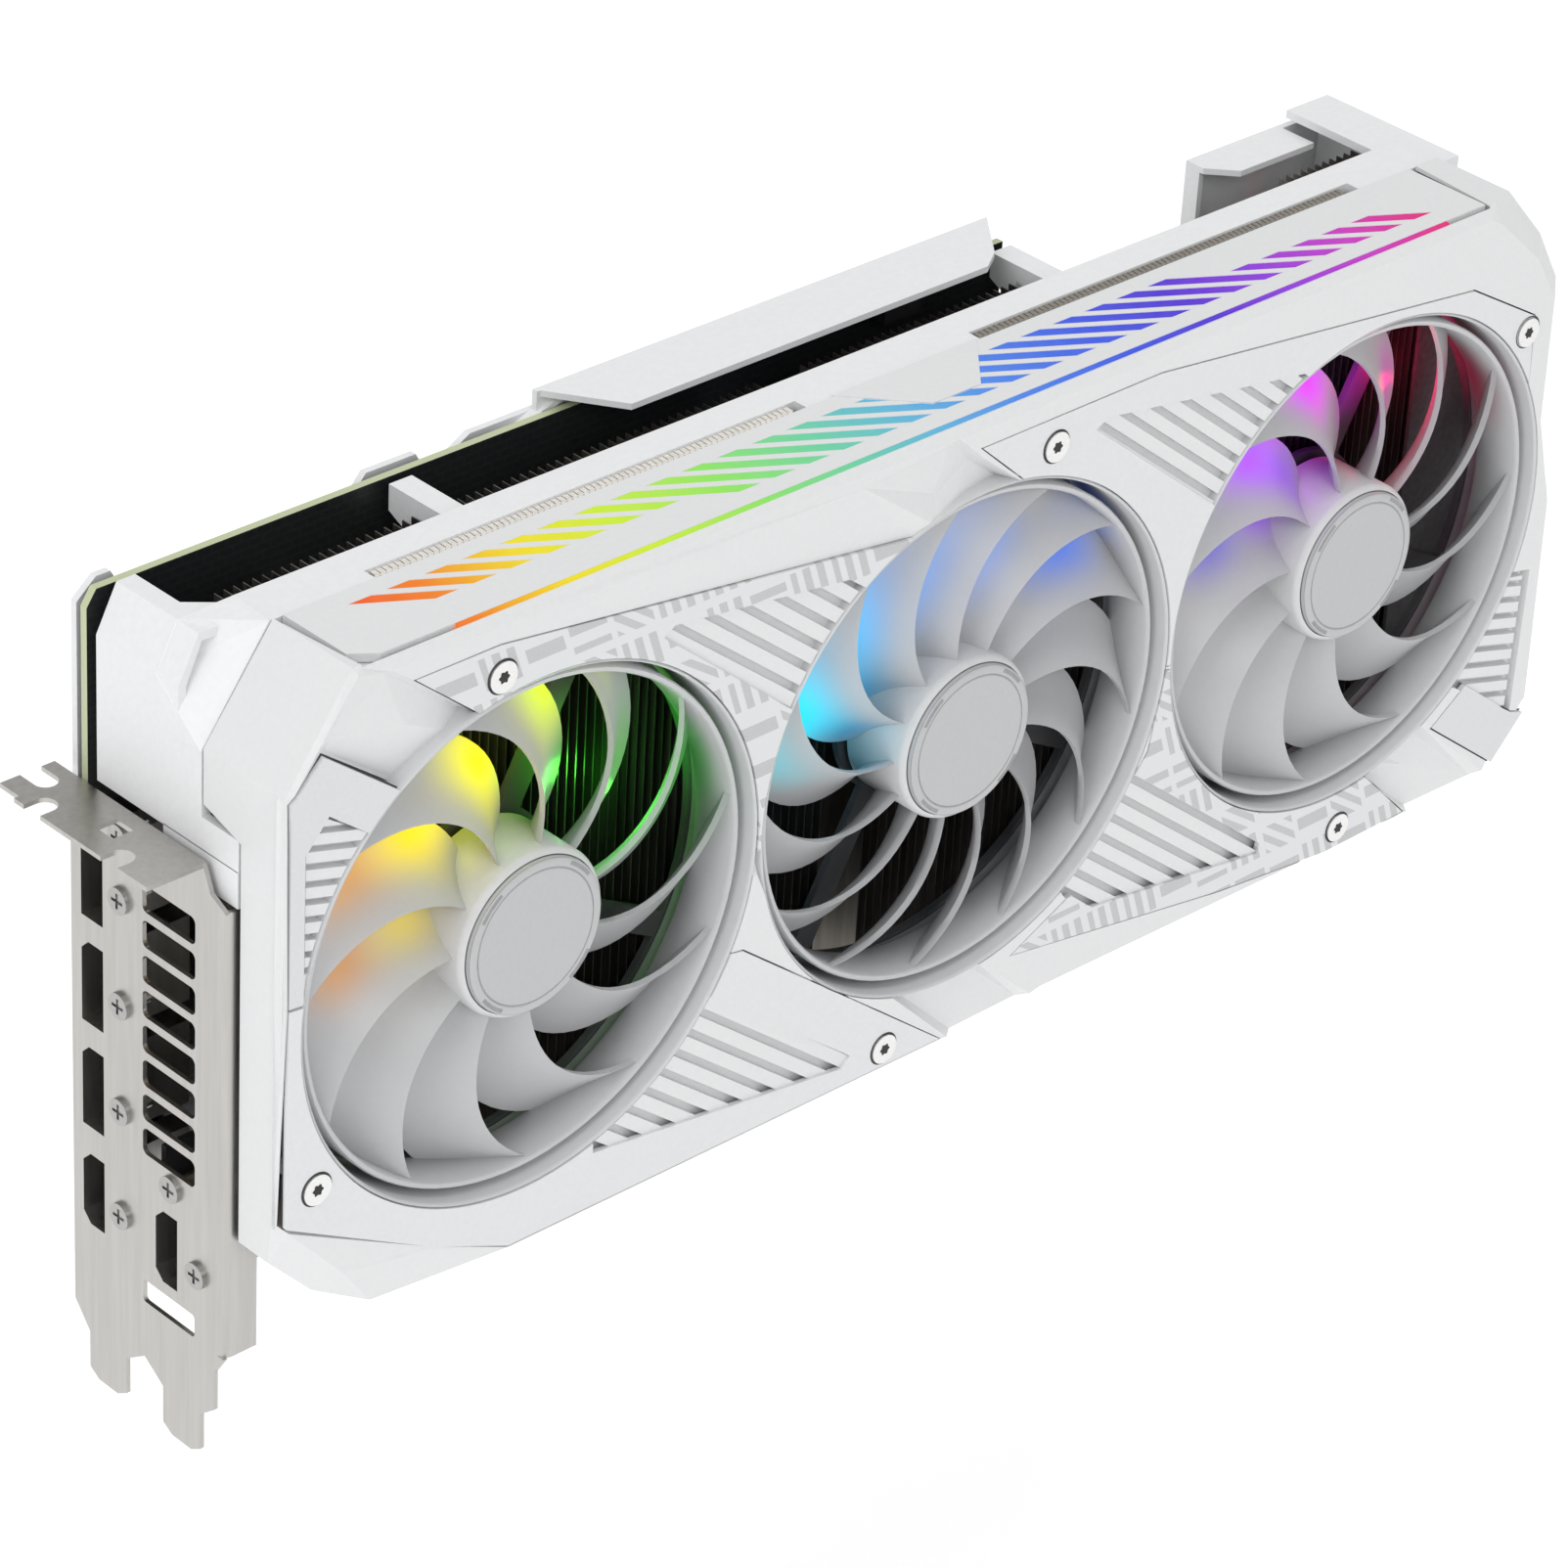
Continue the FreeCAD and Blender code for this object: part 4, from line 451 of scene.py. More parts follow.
def painted_glow_white(name, spots, tone=(0.55, 0.555, 0.565), painted_depth_shade=(5.0, 5.0, 1.0)):
    """Milky plastic with the lamps' glow painted on toward its rear, and painted shade that may darken it
    from front to rear.
    """
    finish, tree, shader = new_finish(name, 0.4, tone)
    links = tree.links
    skin = grain(tree, 800, 3)
    ramp = mottle(tree, shader, skin, tuple(c * 0.985 for c in tone), tuple(min(1, c * 1.01) for c in tone))
    roughen(tree, shader, skin, 0.34, 0.46)
    pit(tree, shader, skin, 0.012, 0.15)
    place, split = own_axes(tree, frame["bodies"]["card"])

    def by_depth(front, rear, at_front, at_rear):
        """Value that changes smoothly between two depths."""
        fall = tree.nodes.new("ShaderNodeMapRange")
        fall.interpolation_type = "SMOOTHSTEP"
        for socket, value in zip(("From Min", "From Max", "To Min", "To Max"),
                                 (at(0, front, 0).y, at(0, rear, 0).y, at_front, at_rear)):
            fall.inputs[socket].default_value = value
        links.new(split.outputs["Y"], fall.inputs["Value"])
        return fall.outputs["Result"]

    # Painted shade: the mottled colour is scaled down from front to rear.
    depth_shaded_colour = tree.nodes.new("ShaderNodeVectorMath")
    depth_shaded_colour.operation = "SCALE"
    links.new(ramp.outputs["Color"], depth_shaded_colour.inputs[0])
    links.new(by_depth(painted_depth_shade[0], painted_depth_shade[1] + 0.01, 1.0, painted_depth_shade[2]), depth_shaded_colour.inputs["Scale"])
    colour_now, total = depth_shaded_colour.outputs["Vector"], None
    deeper = by_depth(3.0, 11.5, 0.12, 1.0)
    # Painted glow: near each spot the colour darkens toward the lamp's colour, and that colour is emitted.
    for (x, y, z), reach, colour, power in spots:
        gap = tree.nodes.new("ShaderNodeVectorMath")
        gap.operation = "DISTANCE"
        gap.inputs[1].default_value = at(x, y, z)
        links.new(place.outputs["Object"], gap.inputs[0])
        near = tree.nodes.new("ShaderNodeMapRange")
        near.interpolation_type = "SMOOTHSTEP"
        near.inputs["From Min"].default_value = reach * 0.001
        near.inputs["From Max"].default_value = 0.0
        links.new(gap.outputs["Value"], near.inputs["Value"])
        mask = tree.nodes.new("ShaderNodeMath")
        mask.operation = "MULTIPLY"
        links.new(near.outputs["Result"], mask.inputs[0])
        links.new(deeper, mask.inputs[1])
        blend = tree.nodes.new("ShaderNodeMix")
        blend.data_type = "RGBA"
        links.new(mask.outputs["Value"], blend.inputs["Factor"])
        links.new(colour_now, blend.inputs["A"])
        blend.inputs["B"].default_value = (*(c * 0.45 for c in colour), 1)
        colour_now = blend.outputs["Result"]
        glow_emission_paint = tree.nodes.new("ShaderNodeVectorMath")
        glow_emission_paint.operation = "SCALE"
        glow_emission_paint.inputs[0].default_value = tuple(c * power for c in colour)
        links.new(mask.outputs["Value"], glow_emission_paint.inputs["Scale"])
        if total is None:
            total = glow_emission_paint.outputs["Vector"]
        else:
            add = tree.nodes.new("ShaderNodeVectorMath")
            add.operation = "ADD"
            links.new(total, add.inputs[0])
            links.new(glow_emission_paint.outputs["Vector"], add.inputs[1])
            total = add.outputs["Vector"]
    links.new(colour_now, shader.inputs["Base Color"])
    links.new(total, shader.inputs["Emission Color"])
    shader.inputs["Emission Strength"].default_value = 1.0
    return finish


def blade_surface(bm, x, turn, width, phase):
    """One cupped blade, thick at its front edge and thin at its rear edge."""
    across, along = 12, 16
    faces = []
    for side in (0, 1):
        rows = []
        for i in range(along + 1):
            t = i / along
            radius = BLADE_ROOT + t * (BLADE_TIP - BLADE_ROOT)
            sweep = BLADE_SWEEP * t ** 1.8
            front_y = 2.6 - 0.5 * math.sin(math.pi * t)
            back_y = 11.8 - 0.6 * t
            row = []
            for j in range(across + 1):
                c = j / across
                angle = math.radians(phase + turn * (sweep - width * (BLADE_COVER - TIP_TAPER * t * t) * c))
                camber = BLADE_CAMBER * math.sin(math.pi * c)
                y = front_y + (back_y - front_y) * (c + camber)
                y += side * (1.35 - 0.55 * c)
                row.append(bm.verts.new(at(x + radius * math.cos(angle), y, radius * math.sin(angle))))
            rows.append(row)
        faces.append(rows)
    front, back = faces
    for i in range(along):
        for j in range(across):
            bm.faces.new((front[i][j], front[i + 1][j], front[i + 1][j + 1], front[i][j + 1]))
            bm.faces.new((back[i][j], back[i][j + 1], back[i + 1][j + 1], back[i + 1][j]))
        for j in (0, across):
            bm.faces.new((front[i][j], back[i][j], back[i + 1][j], front[i + 1][j]))
    for i in (0, along):
        for j in range(across):
            bm.faces.new((front[i][j], front[i][j + 1], back[i][j + 1], back[i][j]))


# Painted glow, where each fan's lamps shine through: place, reach in millimetres, colour and strength.
PAINTED_GLOW_SPOTS = (
    (((50, 10, 30), 17, (1.0, 0.92, 0.0), 0.9), ((66, 11, 40), 16, (0.8, 1.0, 0.05), 0.8),
     ((36, 9, 22), 15, (1.0, 0.8, 0.0), 0.8), ((22, 9, 18), 14, (1.0, 0.45, 0.05), 0.5),
     ((34, 9, 4), 12, (1.0, 0.78, 0.1), 0.5), ((22, 9, 2), 11, (1.0, 0.45, 0.1), 0.35),
     ((96, 11, 12), 20, (0.12, 0.75, 0.12), 0.12), ((76, 11, 22), 16, (0.2, 0.9, 0.1), 0.15)),
    (((124, 9, 12), 16, (0.0, 0.78, 0.95), 0.85), ((134, 9, 24), 17, (0.05, 0.55, 1.0), 0.7),
     ((147, 9, 32), 17, (0.15, 0.42, 1.0), 0.62), ((165, 9, 33), 16, (0.2, 0.38, 1.0), 0.6),
     ((187, 9, 24), 15, (0.1, 0.25, 1.0), 0.55), ((138, 9, 9), 13, (0.0, 0.4, 0.75), 0.4)),
    (((236, 10, 24), 13, (0.45, 0.05, 1.0), 0.9), ((250, 10, 36), 14, (0.8, 0.02, 1.0), 0.95),
     ((244, 10, 17), 13, (0.35, 0.05, 1.0), 0.6), ((228, 9, 12), 13, (0.25, 0.2, 1.0), 0.35),
     ((303, 12, 24), 18, (0.6, 0.05, 0.14), 0.12), ((270, 11, 30), 13, (0.8, 0.05, 0.75), 0.3)),
)
cap_white = grained("cap_white", 0.42, (0.5, 0.505, 0.51), (0.49, 0.495, 0.5), (0.51, 0.515, 0.52), 900,
                    gloss=(0.38, 0.48))
hub_white = grained("hub_white", 0.4, (0.6, 0.605, 0.61), (0.65, 0.655, 0.66), (0.67, 0.675, 0.68), 900,
                    gloss=(0.34, 0.44))
groove_grey = grained("cap_groove_grey", 0.5, (0.3, 0.3, 0.31), (0.28, 0.28, 0.29), (0.34, 0.34, 0.35),
                      1500)

for number, (x, count, turn, phase, spots) in enumerate(
        zip(FAN_X, FAN_BLADES, FAN_TURN, FAN_PHASE, PAINTED_GLOW_SPOTS), 1):
    body = f"fan_{number}"
    # The blades and ring carry painted glow; the ring is also painted darker toward its rear as shade.
    plastic = painted_glow_white(f"fan_{number}_milky_white_painted_glow", spots)
    painted_ring_finish = painted_glow_white(f"fan_{number}_ring_painted_glow_shade", spots, painted_depth_shade=(4.0, 11.0, 0.85))
    rotor = bmesh.new()
    for k in range(count):
        blade_surface(rotor, x, turn, 360 / count, phase + 360 * k / count)
    # Tip ring with rolled edges, then the hub cup.
    inner = RING_R - RING_WALL
    lathe(rotor, x, [(inner, 2.5), (inner + 0.3, 2.1), (RING_R - 0.3, 2.0), (RING_R, 2.4), (RING_R, 11.7),
                     (RING_R - 0.3, 12.0), (inner + 0.3, 12.0), (inner, 11.6)], slot=1)
    lathe(rotor, x, [(HUB_R, 14.6), (HUB_R, 1.9), (HUB_R - 0.35, 1.1), (HUB_R - 1.0, 0.65),
                     (CAP_EDGE, 0.62), (CAP_EDGE, 2.2), (1.6, 2.2), (1.6, 3.0), (14.4, 3.0), (14.4, 14.6)],
          slot=2)
    rotor_piece = new_piece(f"{body}_blades_and_ring", finish_mesh(rotor, body),
                            [plastic, painted_ring_finish, hub_white], body, 40)
    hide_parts(f"{body}_rotor")

    # The cap is a flat disc with a fine groove and four short thicker arcs at its rim.
    cap = bmesh.new()
    lathe(cap, x, [(0.02, -0.4), (12.55, -0.4), (12.7, -0.28), (12.95, -0.28), (13.1, -0.4), (14.2, -0.4),
                   (14.55, -0.2), (14.7, 0.1), (14.7, 0.6), (0.02, 0.6)])
    lathe(cap, x, [(12.6, -0.3), (13.05, -0.3), (13.05, -0.15), (12.6, -0.15)], slot=1)
    lathe(cap, x, [(14.25, -0.36), (14.62, -0.16), (14.62, -0.05), (14.25, -0.2)], slot=1)
    for k in range(4):
        lathe(cap, x, [(13.5, -0.42), (14.25, -0.42), (14.25, -0.2), (13.5, -0.2)],
              steps=12, slot=1, start=35 + 90 * k, sweep=24)
    cap_piece = new_piece(f"{body}_capped_disc", finish_mesh(cap, f"{body}_cap"),
                          [cap_white, groove_grey], body, 35)
    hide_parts(f"{body}_cap")
    coat(f"{body}_shaft", nickel)
    coat(f"{body}_stator", nylon)
    # The dark mount carries painted glow from the last two spots.
    coat(f"{body}_mount", painted_glow_white(f"{body}_mount_painted_glow", spots[-2:], (0.09, 0.092, 0.095)), 0.2)


# ---- Shroud --------------------------------------------------------------------------------------
# One white moulding over the fans.  Its face is a field of flat facets: ledges that carry the trim
# panels, valleys between them and a bevel all round.  Thin gaps part it from the panels.

shroud_white = grained("shroud_white", 0.42, (0.74, 0.745, 0.75), (0.73, 0.735, 0.74), (0.75, 0.755, 0.76),
                       900, 4, gloss=(0.36, 0.48), pits=(0.012, 0.18))
LEDGE = -0.45
# Points of the moulding's face: x, z and how far back the face lies there.
FACE_POINTS = {
    "tl_low": (2.0, 47.0, 0.5), "tl_high": (16.0, 66.0, 0.9), "tl_in_low": (3.6, 47.6, -0.2),
    "tl_in_mid": (8.6, 54.4, -0.1), "tl_in_high": (16.6, 64.6, 0.2), "top_l": (18.0, 66.0, 0.9),
    "top_r": (290.0, 66.0, 0.9), "band_l": (24.0, 63.7, LEDGE), "band_r": (288.0, 63.7, LEDGE),
    "tr_high": (296.0, 66.0, 3.0), "tr_a": (307.0, 54.0, 3.0), "tr_b": (313.5, 43.0, 3.0),
    "r_c": (313.5, 14.0, 3.0), "r_d": (319.5, -5.0, 3.0), "r_e": (320.0, -50.0, 3.0),
    "br": (309.0, -62.0, 3.0), "tr_in": (291.0, 62.0, LEDGE), "tr_a_in": (303.2, 51.0, LEDGE),
    "tr_b_in": (309.6, 41.0, LEDGE), "r_c_in": (310.2, 14.6, LEDGE), "r_d_in": (315.6, -5.0, LEDGE),
    "r_e_in": (316.6, -49.0, LEDGE), "br_in": (307.4, -59.4, LEDGE), "bottom_r": (283.0, -63.5, 2.2),
    "bottom_m": (156.0, -63.5, 2.2), "bottom_l": (24.0, -62.0, 3.0), "bl": (12.0, -55.0, 4.0),
    "l_low": (2.0, -44.5, 3.4), "l_low_in": (3.2, -37.0, LEDGE), "bl_in": (16.0, -51.5, 0.6),
    "bottom_l_in": (34.0, -54.5, 0.2), "l_mid": (2.0, 7.0, LEDGE), "l_step": (2.0, 36.6, LEDGE),
    "l_notch": (2.0, 33.6, LEDGE), "bottom_a_in": (52.0, -61.8, LEDGE),
    "bottom_b_in": (155.0, -62.7, LEDGE), "bottom_c_in": (182.0, -61.8, LEDGE),
    "bottom_d_in": (281.0, -62.9, LEDGE),
    # left valley, under the first ledge
    "l1a": (23.4, 63.3, LEDGE), "l1b": (38.0, 52.3, LEDGE), "l1c": (45.2, 46.9, LEDGE),
    "v1a": (22.6, 62.6, 1.3), "v1b": (37.2, 51.4, 3.2), "v1c": (44.4, 45.6, 3.6),
    "ridge1a": (11.0, 54.6, 0.5), "ridge1b": (27.0, 51.6, 1.0), "ridge1c": (39.5, 45.0, 2.2),
    "inlay1a": (10.0, 53.0, 0.9), "inlay1b": (27.0, 40.2, 3.2), "inlay1c": (30.0, 36.0, 3.4),
    # valley between the upper panels
    "k1": (127.0, 61.5, LEDGE), "k2": (145.5, 47.8, -0.1), "k3": (139.0, 43.5, 0.8),
    "l2a": (149.6, 63.4, LEDGE), "l2b": (156.0, 57.6, LEDGE), "l2c": (169.0, 47.5, LEDGE),
    "v2a": (148.6, 62.7, 1.2), "v2b": (155.2, 56.6, 3.0), "v2c": (167.6, 46.8, 3.4),
    "floor2": (146.5, 53.0, 1.6),
    # valley between the lower panels
    "l3a": (107.0, -8.0, LEDGE), "l3b": (111.5, -18.0, LEDGE), "l3c": (136.0, -41.5, LEDGE),
    "l3d": (158.0, -62.9, LEDGE), "v3a": (108.4, -7.4, 1.6), "v3b": (113.0, -17.6, 2.6),
    "v3c": (137.0, -40.6, 3.4), "v3d": (160.6, -63.2, 1.6), "l4a": (164.5, -49.5, LEDGE),
    "l4b": (179.5, -62.3, LEDGE), "v4a": (163.4, -50.0, 3.0), "v4b": (177.6, -63.0, 1.6),
    "floor3": (152.0, -49.0, 2.6),
    # valley under the third fan, up to the corner ledge
    "l5a": (269.5, -50.5, LEDGE), "l5b": (284.0, -63.2, LEDGE), "v5a": (270.8, -50.6, 2.6),
    "v5b": (285.6, -63.2, 1.8), "l6a": (284.0, -43.0, LEDGE), "l6b": (306.0, -62.0, LEDGE),
    "v6a": (283.2, -44.4, 2.8), "v6b": (303.6, -62.6, 1.8), "floor5": (284.0, -53.5, 2.0),
}
FACE_CREASES = (
    "tl_low tl_in_low tl_in_mid tl_in_high top_l", "tl_high tl_in_high", "l1a l1b l1c", "v1a v1b v1c",
    "l1a v1a", "l1c v1c", "tl_in_high v1a", "ridge1a ridge1b ridge1c", "tl_in_mid ridge1a",
    "inlay1a inlay1b inlay1c", "ridge1a inlay1a", "band_l k1 l2a band_r", "band_l l1a", "k1 k2 k3",
    "l2a l2b l2c", "v2a v2b v2c", "l2a v2a", "l2c v2c", "k1 v2a", "k2 floor2", "floor2 v2b",
    "l3a l3b l3c l3d", "v3a v3b v3c v3d", "l3a v3a", "l3d v3d", "l4a l4b", "v4a v4b", "l4a v4a", "l4b v4b",
    "v3c floor3 v4a", "l5a l5b", "v5a v5b", "l5a v5a", "l5b v5b", "l6a l6b", "v6a v6b", "l6a v6a",
    "l6b v6b", "v5a floor5 v6a", "band_r tr_in tr_a_in tr_b_in r_c_in r_d_in r_e_in", "r_e_in br_in l6b",
    "bottom_a_in bottom_b_in", "bottom_c_in bottom_d_in", "l_low l_low_in bl_in bottom_l_in bottom_a_in",
)
FACE_EDGE = ("tl_low tl_high top_l top_r tr_high tr_a tr_b r_c r_d r_e br bottom_r bottom_m bottom_l bl "
             "l_low l_mid l_notch l_step")


def inside(spot, loop):
    """True when a point lies within a closed outline."""
    x, z = spot
    hit = False
    for (x0, z0), (x1, z1) in zip(loop, loop[1:] + loop[:1]):
        if (z0 > z) != (z1 > z) and x < (x1 - x0) * (z - z0) / (z1 - z0) + x0:
            hit = not hit
    return hit


def grown(loop, gap):
    """Outline moved outward by a gap, with its corners kept."""
    area = sum(x0 * z1 - x1 * z0 for (x0, z0), (x1, z1) in zip(loop, loop[1:] + loop[:1]))
    turn = 1 if area > 0 else -1
    out = []
    for k in range(len(loop)):
        a, b, c = Vector(loop[k - 1]), Vector(loop[k]), Vector(loop[(k + 1) % len(loop)])
        one, two = (b - a).normalized(), (c - b).normalized()
        n1, n2 = Vector((one.y, -one.x)) * turn, Vector((two.y, -two.x)) * turn
        mid = n1 + n2
        reach = gap / max(0.35, mid.length_squared / 2)
        out.append(tuple(b + mid * reach))
    return out


def front_outlines(node):
    """Closed outlines of a node's foremost flat face, largest first, in drawing x and z."""
    mesh = nodes[node].data
    nearest = min(v.co.y for v in mesh.vertices)
    used = {}
    for face in mesh.polygons:
        if all(abs(mesh.vertices[v].co.y - nearest) < 2e-6 for v in face.vertices):
            ring = [tuple(round(c * 1e6) for c in mesh.vertices[v].co) for v in face.vertices]
            for a, b in zip(ring, ring[1:] + ring[:1]):
                used[(a, b)] = used.get((a, b), 0) + 1
    border = {a: b for a, b in used if (b, a) not in used}
    loops = []
    while border:
        first, spot = border.popitem()
        loop = [first]
        while spot != first and spot in border:
            loop.append(spot)
            spot = border.pop(spot)
        loops.append([(x / 1e3 - DRAWING_ZERO.x * 1e3, z / 1e3 - DRAWING_ZERO.z * 1e3) for x, y, z in loop])
    size = [abs(sum(a[0] * b[1] - b[0] * a[1] for a, b in zip(loop, loop[1:] + loop[:1]))) for loop in loops]
    return [loop for area, loop in sorted(zip(size, loops), key=lambda pair: -pair[0])]


def flat_triangles(points, chains):
    """Triangulate points in a plane, keeping every chain of points as edges."""
    edges = [(chain[k], chain[k + 1]) for chain in chains for k in range(len(chain) - 1)]
    spots, _, faces, came_from, *_ = delaunay_2d_cdt([Vector(p) for p in points], edges, [], 0, 1e-5)
    return spots, faces, came_from


names = list(FACE_POINTS)
coarse_chains = [[names.index(n) for n in words.split()] for words in FACE_CREASES]
edge_ring = [names.index(n) for n in FACE_EDGE.split()]
coarse_spots, coarse_faces, coarse_from = flat_triangles([FACE_POINTS[n][:2] for n in names],
                                                         coarse_chains + [edge_ring + edge_ring[:1]])
coarse_depth = []
for spot, sources in zip(coarse_spots, coarse_from):
    coarse_depth.append(FACE_POINTS[names[sources[0]]][2] if sources else 0.5)


def face_depth(x, z):
    """How far back the moulding's face lies at a point."""
    for a, b, c in coarse_faces:
        pa, pb, pc = coarse_spots[a], coarse_spots[b], coarse_spots[c]
        whole = (pb - pa).cross(pc - pa)
        if abs(whole) < 1e-9:
            continue
        spot = Vector((x, z))
        wa = (pb - spot).cross(pc - spot) / whole
        wb = (pc - spot).cross(pa - spot) / whole
        wc = 1 - wa - wb
        if min(wa, wb, wc) > -1e-4:
            return wa * coarse_depth[a] + wb * coarse_depth[b] + wc * coarse_depth[c]
    return 1.0


SEAM, BED_MARGIN = 0.3, 1.4
TOP_EDGE, BAR_FROM, BAR_TO = 65.5, 17.7, 288.3      # the light bar's place in the moulding's top edge
APERTURE, APERTURE_LIP = 50.0, 0.7
TRIM = ("printed_panel_upper", "printed_panel_lower", "plain_panel_lower", "plain_panel_upper", "left_inlay",
        "corner_inlay")
LOUVRE_BEDS = (
    ((82.0, 48.5), (84.5, 50.0), (125.0, 44.5), (131.0, 40.0), (140.0, 30.0), (128.0, 11.0)),
    ((184.0, 54.0), (187.0, 55.5), (239.0, 47.5), (242.0, 45.0), (250.0, 30.0), (231.0, 17.0)),
    ((71.0, -50.5), (131.0, -58.5), (133.0, -56.5), (92.0, -25.0), (70.0, -30.0)),
    ((189.0, -45.0), (194.5, -49.5), (240.0, -55.5), (240.5, -53.5), (198.0, -20.0), (178.0, -30.0)),
    ((10.5, 40.6), (6.2, 35.5), (6.2, 14.0), (16.0, 14.0), (30.0, 30.0), (20.0, 34.0)),
    ((297.0, -39.0), (311.0, -50.0), (311.5, -20.0), (302.0, -18.0), (292.0, -36.0)))
beds_open = [grown(list(bed), BED_MARGIN) for bed in LOUVRE_BEDS]
panel_loops = [front_outlines(node)[0] for node in TRIM]
seams = [grown(loop, SEAM) for loop in panel_loops]
RIM_R, RIM_STEPS = APERTURE + APERTURE_LIP, 120
rim = [[(x + RIM_R * math.cos(math.tau * k / RIM_STEPS), RIM_R * math.sin(math.tau * k / RIM_STEPS))
        for k in range(RIM_STEPS)] for x in FAN_X]
edge = [FACE_POINTS[n][:2] for n in FACE_EDGE.split()]
top_cut = [(BAR_FROM, 66.0), (BAR_FROM, TOP_EDGE), (BAR_TO, TOP_EDGE), (BAR_TO, 66.0)]
points, chains = [], []


def add_chain(loop, closed=True):
    """Put an outline into the fine triangulation."""
    first = len(points)
    points.extend(loop)
    ring = list(range(first, first + len(loop)))
    chains.append(ring + ring[:1] if closed else ring)


add_chain(edge)
add_chain(top_cut, False)
for words in FACE_CREASES:
    add_chain([FACE_POINTS[n][:2] for n in words.split()], False)
for loop in seams + rim + beds_open:
    add_chain(loop)
fine_spots, fine_faces, _ = flat_triangles(points, chains)


def region(spot):
    """What stands at a point of the front: the face, a louvre's bed, a trim panel or nothing."""
    x, z = spot
    if not inside(spot, edge) or (BAR_FROM < x < BAR_TO and z > TOP_EDGE):
        return None
    if any((x - fx) ** 2 + z * z < (RIM_R - 0.01) ** 2 for fx in FAN_X):
        return None
    if any(inside(spot, bed) for bed in beds_open):
        return "bed"
    if any(inside(spot, loop) for loop in seams):
        return "panel"
    return "face"


WALL_BACK, SEAM_FLOOR, BED_FLOOR = 20.8, 0.55, 1.7
# The side wall is cut back beside the bracket, and almost wholly along the light bar.
BRACKET_WALL_BACK, BRACKET_WALL_X, BRACKET_WALL_Z = 11.2, 14.0, 34.5
BAR_WALL_BACK = 0.95
face_mesh, bed_mesh, liner = bmesh.new(), bmesh.new(), bmesh.new()
face_verts, bed_verts, liner_verts = {}, {}, {}


def vertex(bm, store, index, depth):
    """Shared vertex of one of the front meshes."""
    if index not in store:
        x, z = fine_spots[index]
        store[index] = bm.verts.new(at(x, depth(x, z), z))
    return store[index]


for face in fine_faces:
    middle_spot = sum((fine_spots[v] for v in face), Vector((0, 0))) / len(face)
    kind = region(tuple(middle_spot))
    if kind == "face":
        face_mesh.faces.new([vertex(face_mesh, face_verts, v, face_depth) for v in face])
    elif kind == "bed":
        bed_mesh.faces.new([vertex(bed_mesh, bed_verts, v, lambda x, z: BED_FLOOR) for v in face])
    elif kind == "panel":
        liner.faces.new([vertex(liner, liner_verts, v, lambda x, z: SEAM_FLOOR) for v in face])


def on_edge(spot):
    """True on the moulding's outer outline, where the side walls start."""
    x, z = spot
    ring = edge + edge[:1]
    for (x0, z0), (x1, z1) in zip(ring, ring[1:]):
        run = math.hypot(x1 - x0, z1 - z0)
        off = abs((x1 - x0) * (z - z0) - (z1 - z0) * (x - x0)) / run
        along = ((x - x0) * (x1 - x0) + (z - z0) * (z1 - z0)) / run
        if off < 0.02 and -0.02 < along < run + 0.02:
            return True
    return abs(z - TOP_EDGE) < 0.02 and BAR_FROM - 0.1 < x < BAR_TO + 0.1


def drop_edges(bm, deep_back, gap_back):
    """Carry the open edges of a front mesh back: deep side walls, shallow walls in the gaps."""
    open_edges = [e for e in bm.edges if len(e.link_faces) == 1]
    twins = {}
    for e in open_edges:
        for v in e.verts:
            if v not in twins:
                x, y, z = (v.co - DRAWING_ZERO) * 1000
                deep = on_edge((x, z))
                back = deep_back if deep else max(gap_back, y + 0.3)
                if deep and x < BRACKET_WALL_X and z < BRACKET_WALL_Z:
                    back = BRACKET_WALL_BACK
                if BAR_FROM - 0.1 < x < BAR_TO + 0.1 and z > TOP_EDGE - 0.02:
                    back = BAR_WALL_BACK
                twins[v] = bm.verts.new(at(x, back, z))
    for e in open_edges:
        a, b = e.verts
        face = e.link_faces[0]
        order = [corner.vert for corner in face.loops]
        if order[(order.index(a) + 1) % len(order)] == b:
            a, b = b, a
        bm.faces.new((a, b, twins[b], twins[a]))


drop_edges(face_mesh, WALL_BACK, 1.9)
drop_edges(bed_mesh, BED_FLOOR + 1.0, BED_FLOOR + 1.0)
bmesh.ops.recalc_face_normals(face_mesh, faces=face_mesh.faces)


def plain_mesh(bm, name):
    """Store a working mesh as it is."""
    mesh = bpy.data.meshes.new(name)
    bm.to_mesh(mesh)
    bm.free()
    return mesh


moulding = new_piece("shroud_moulding", plain_mesh(face_mesh, "shroud_moulding"), [shroud_white])
wall = moulding.modifiers.new("wall_thickness", "SOLIDIFY")
wall.thickness = 0.0009
wall.offset = -1
soften = moulding.modifiers.new("softened_corners", "BEVEL")
soften.width = 0.00022
soften.segments = 2
soften.limit_method = "ANGLE"
soften.angle_limit = math.radians(35)
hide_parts("front_shroud")
beds = new_piece("louvre_beds", plain_mesh(bed_mesh, "louvre_beds"), [shroud_white])

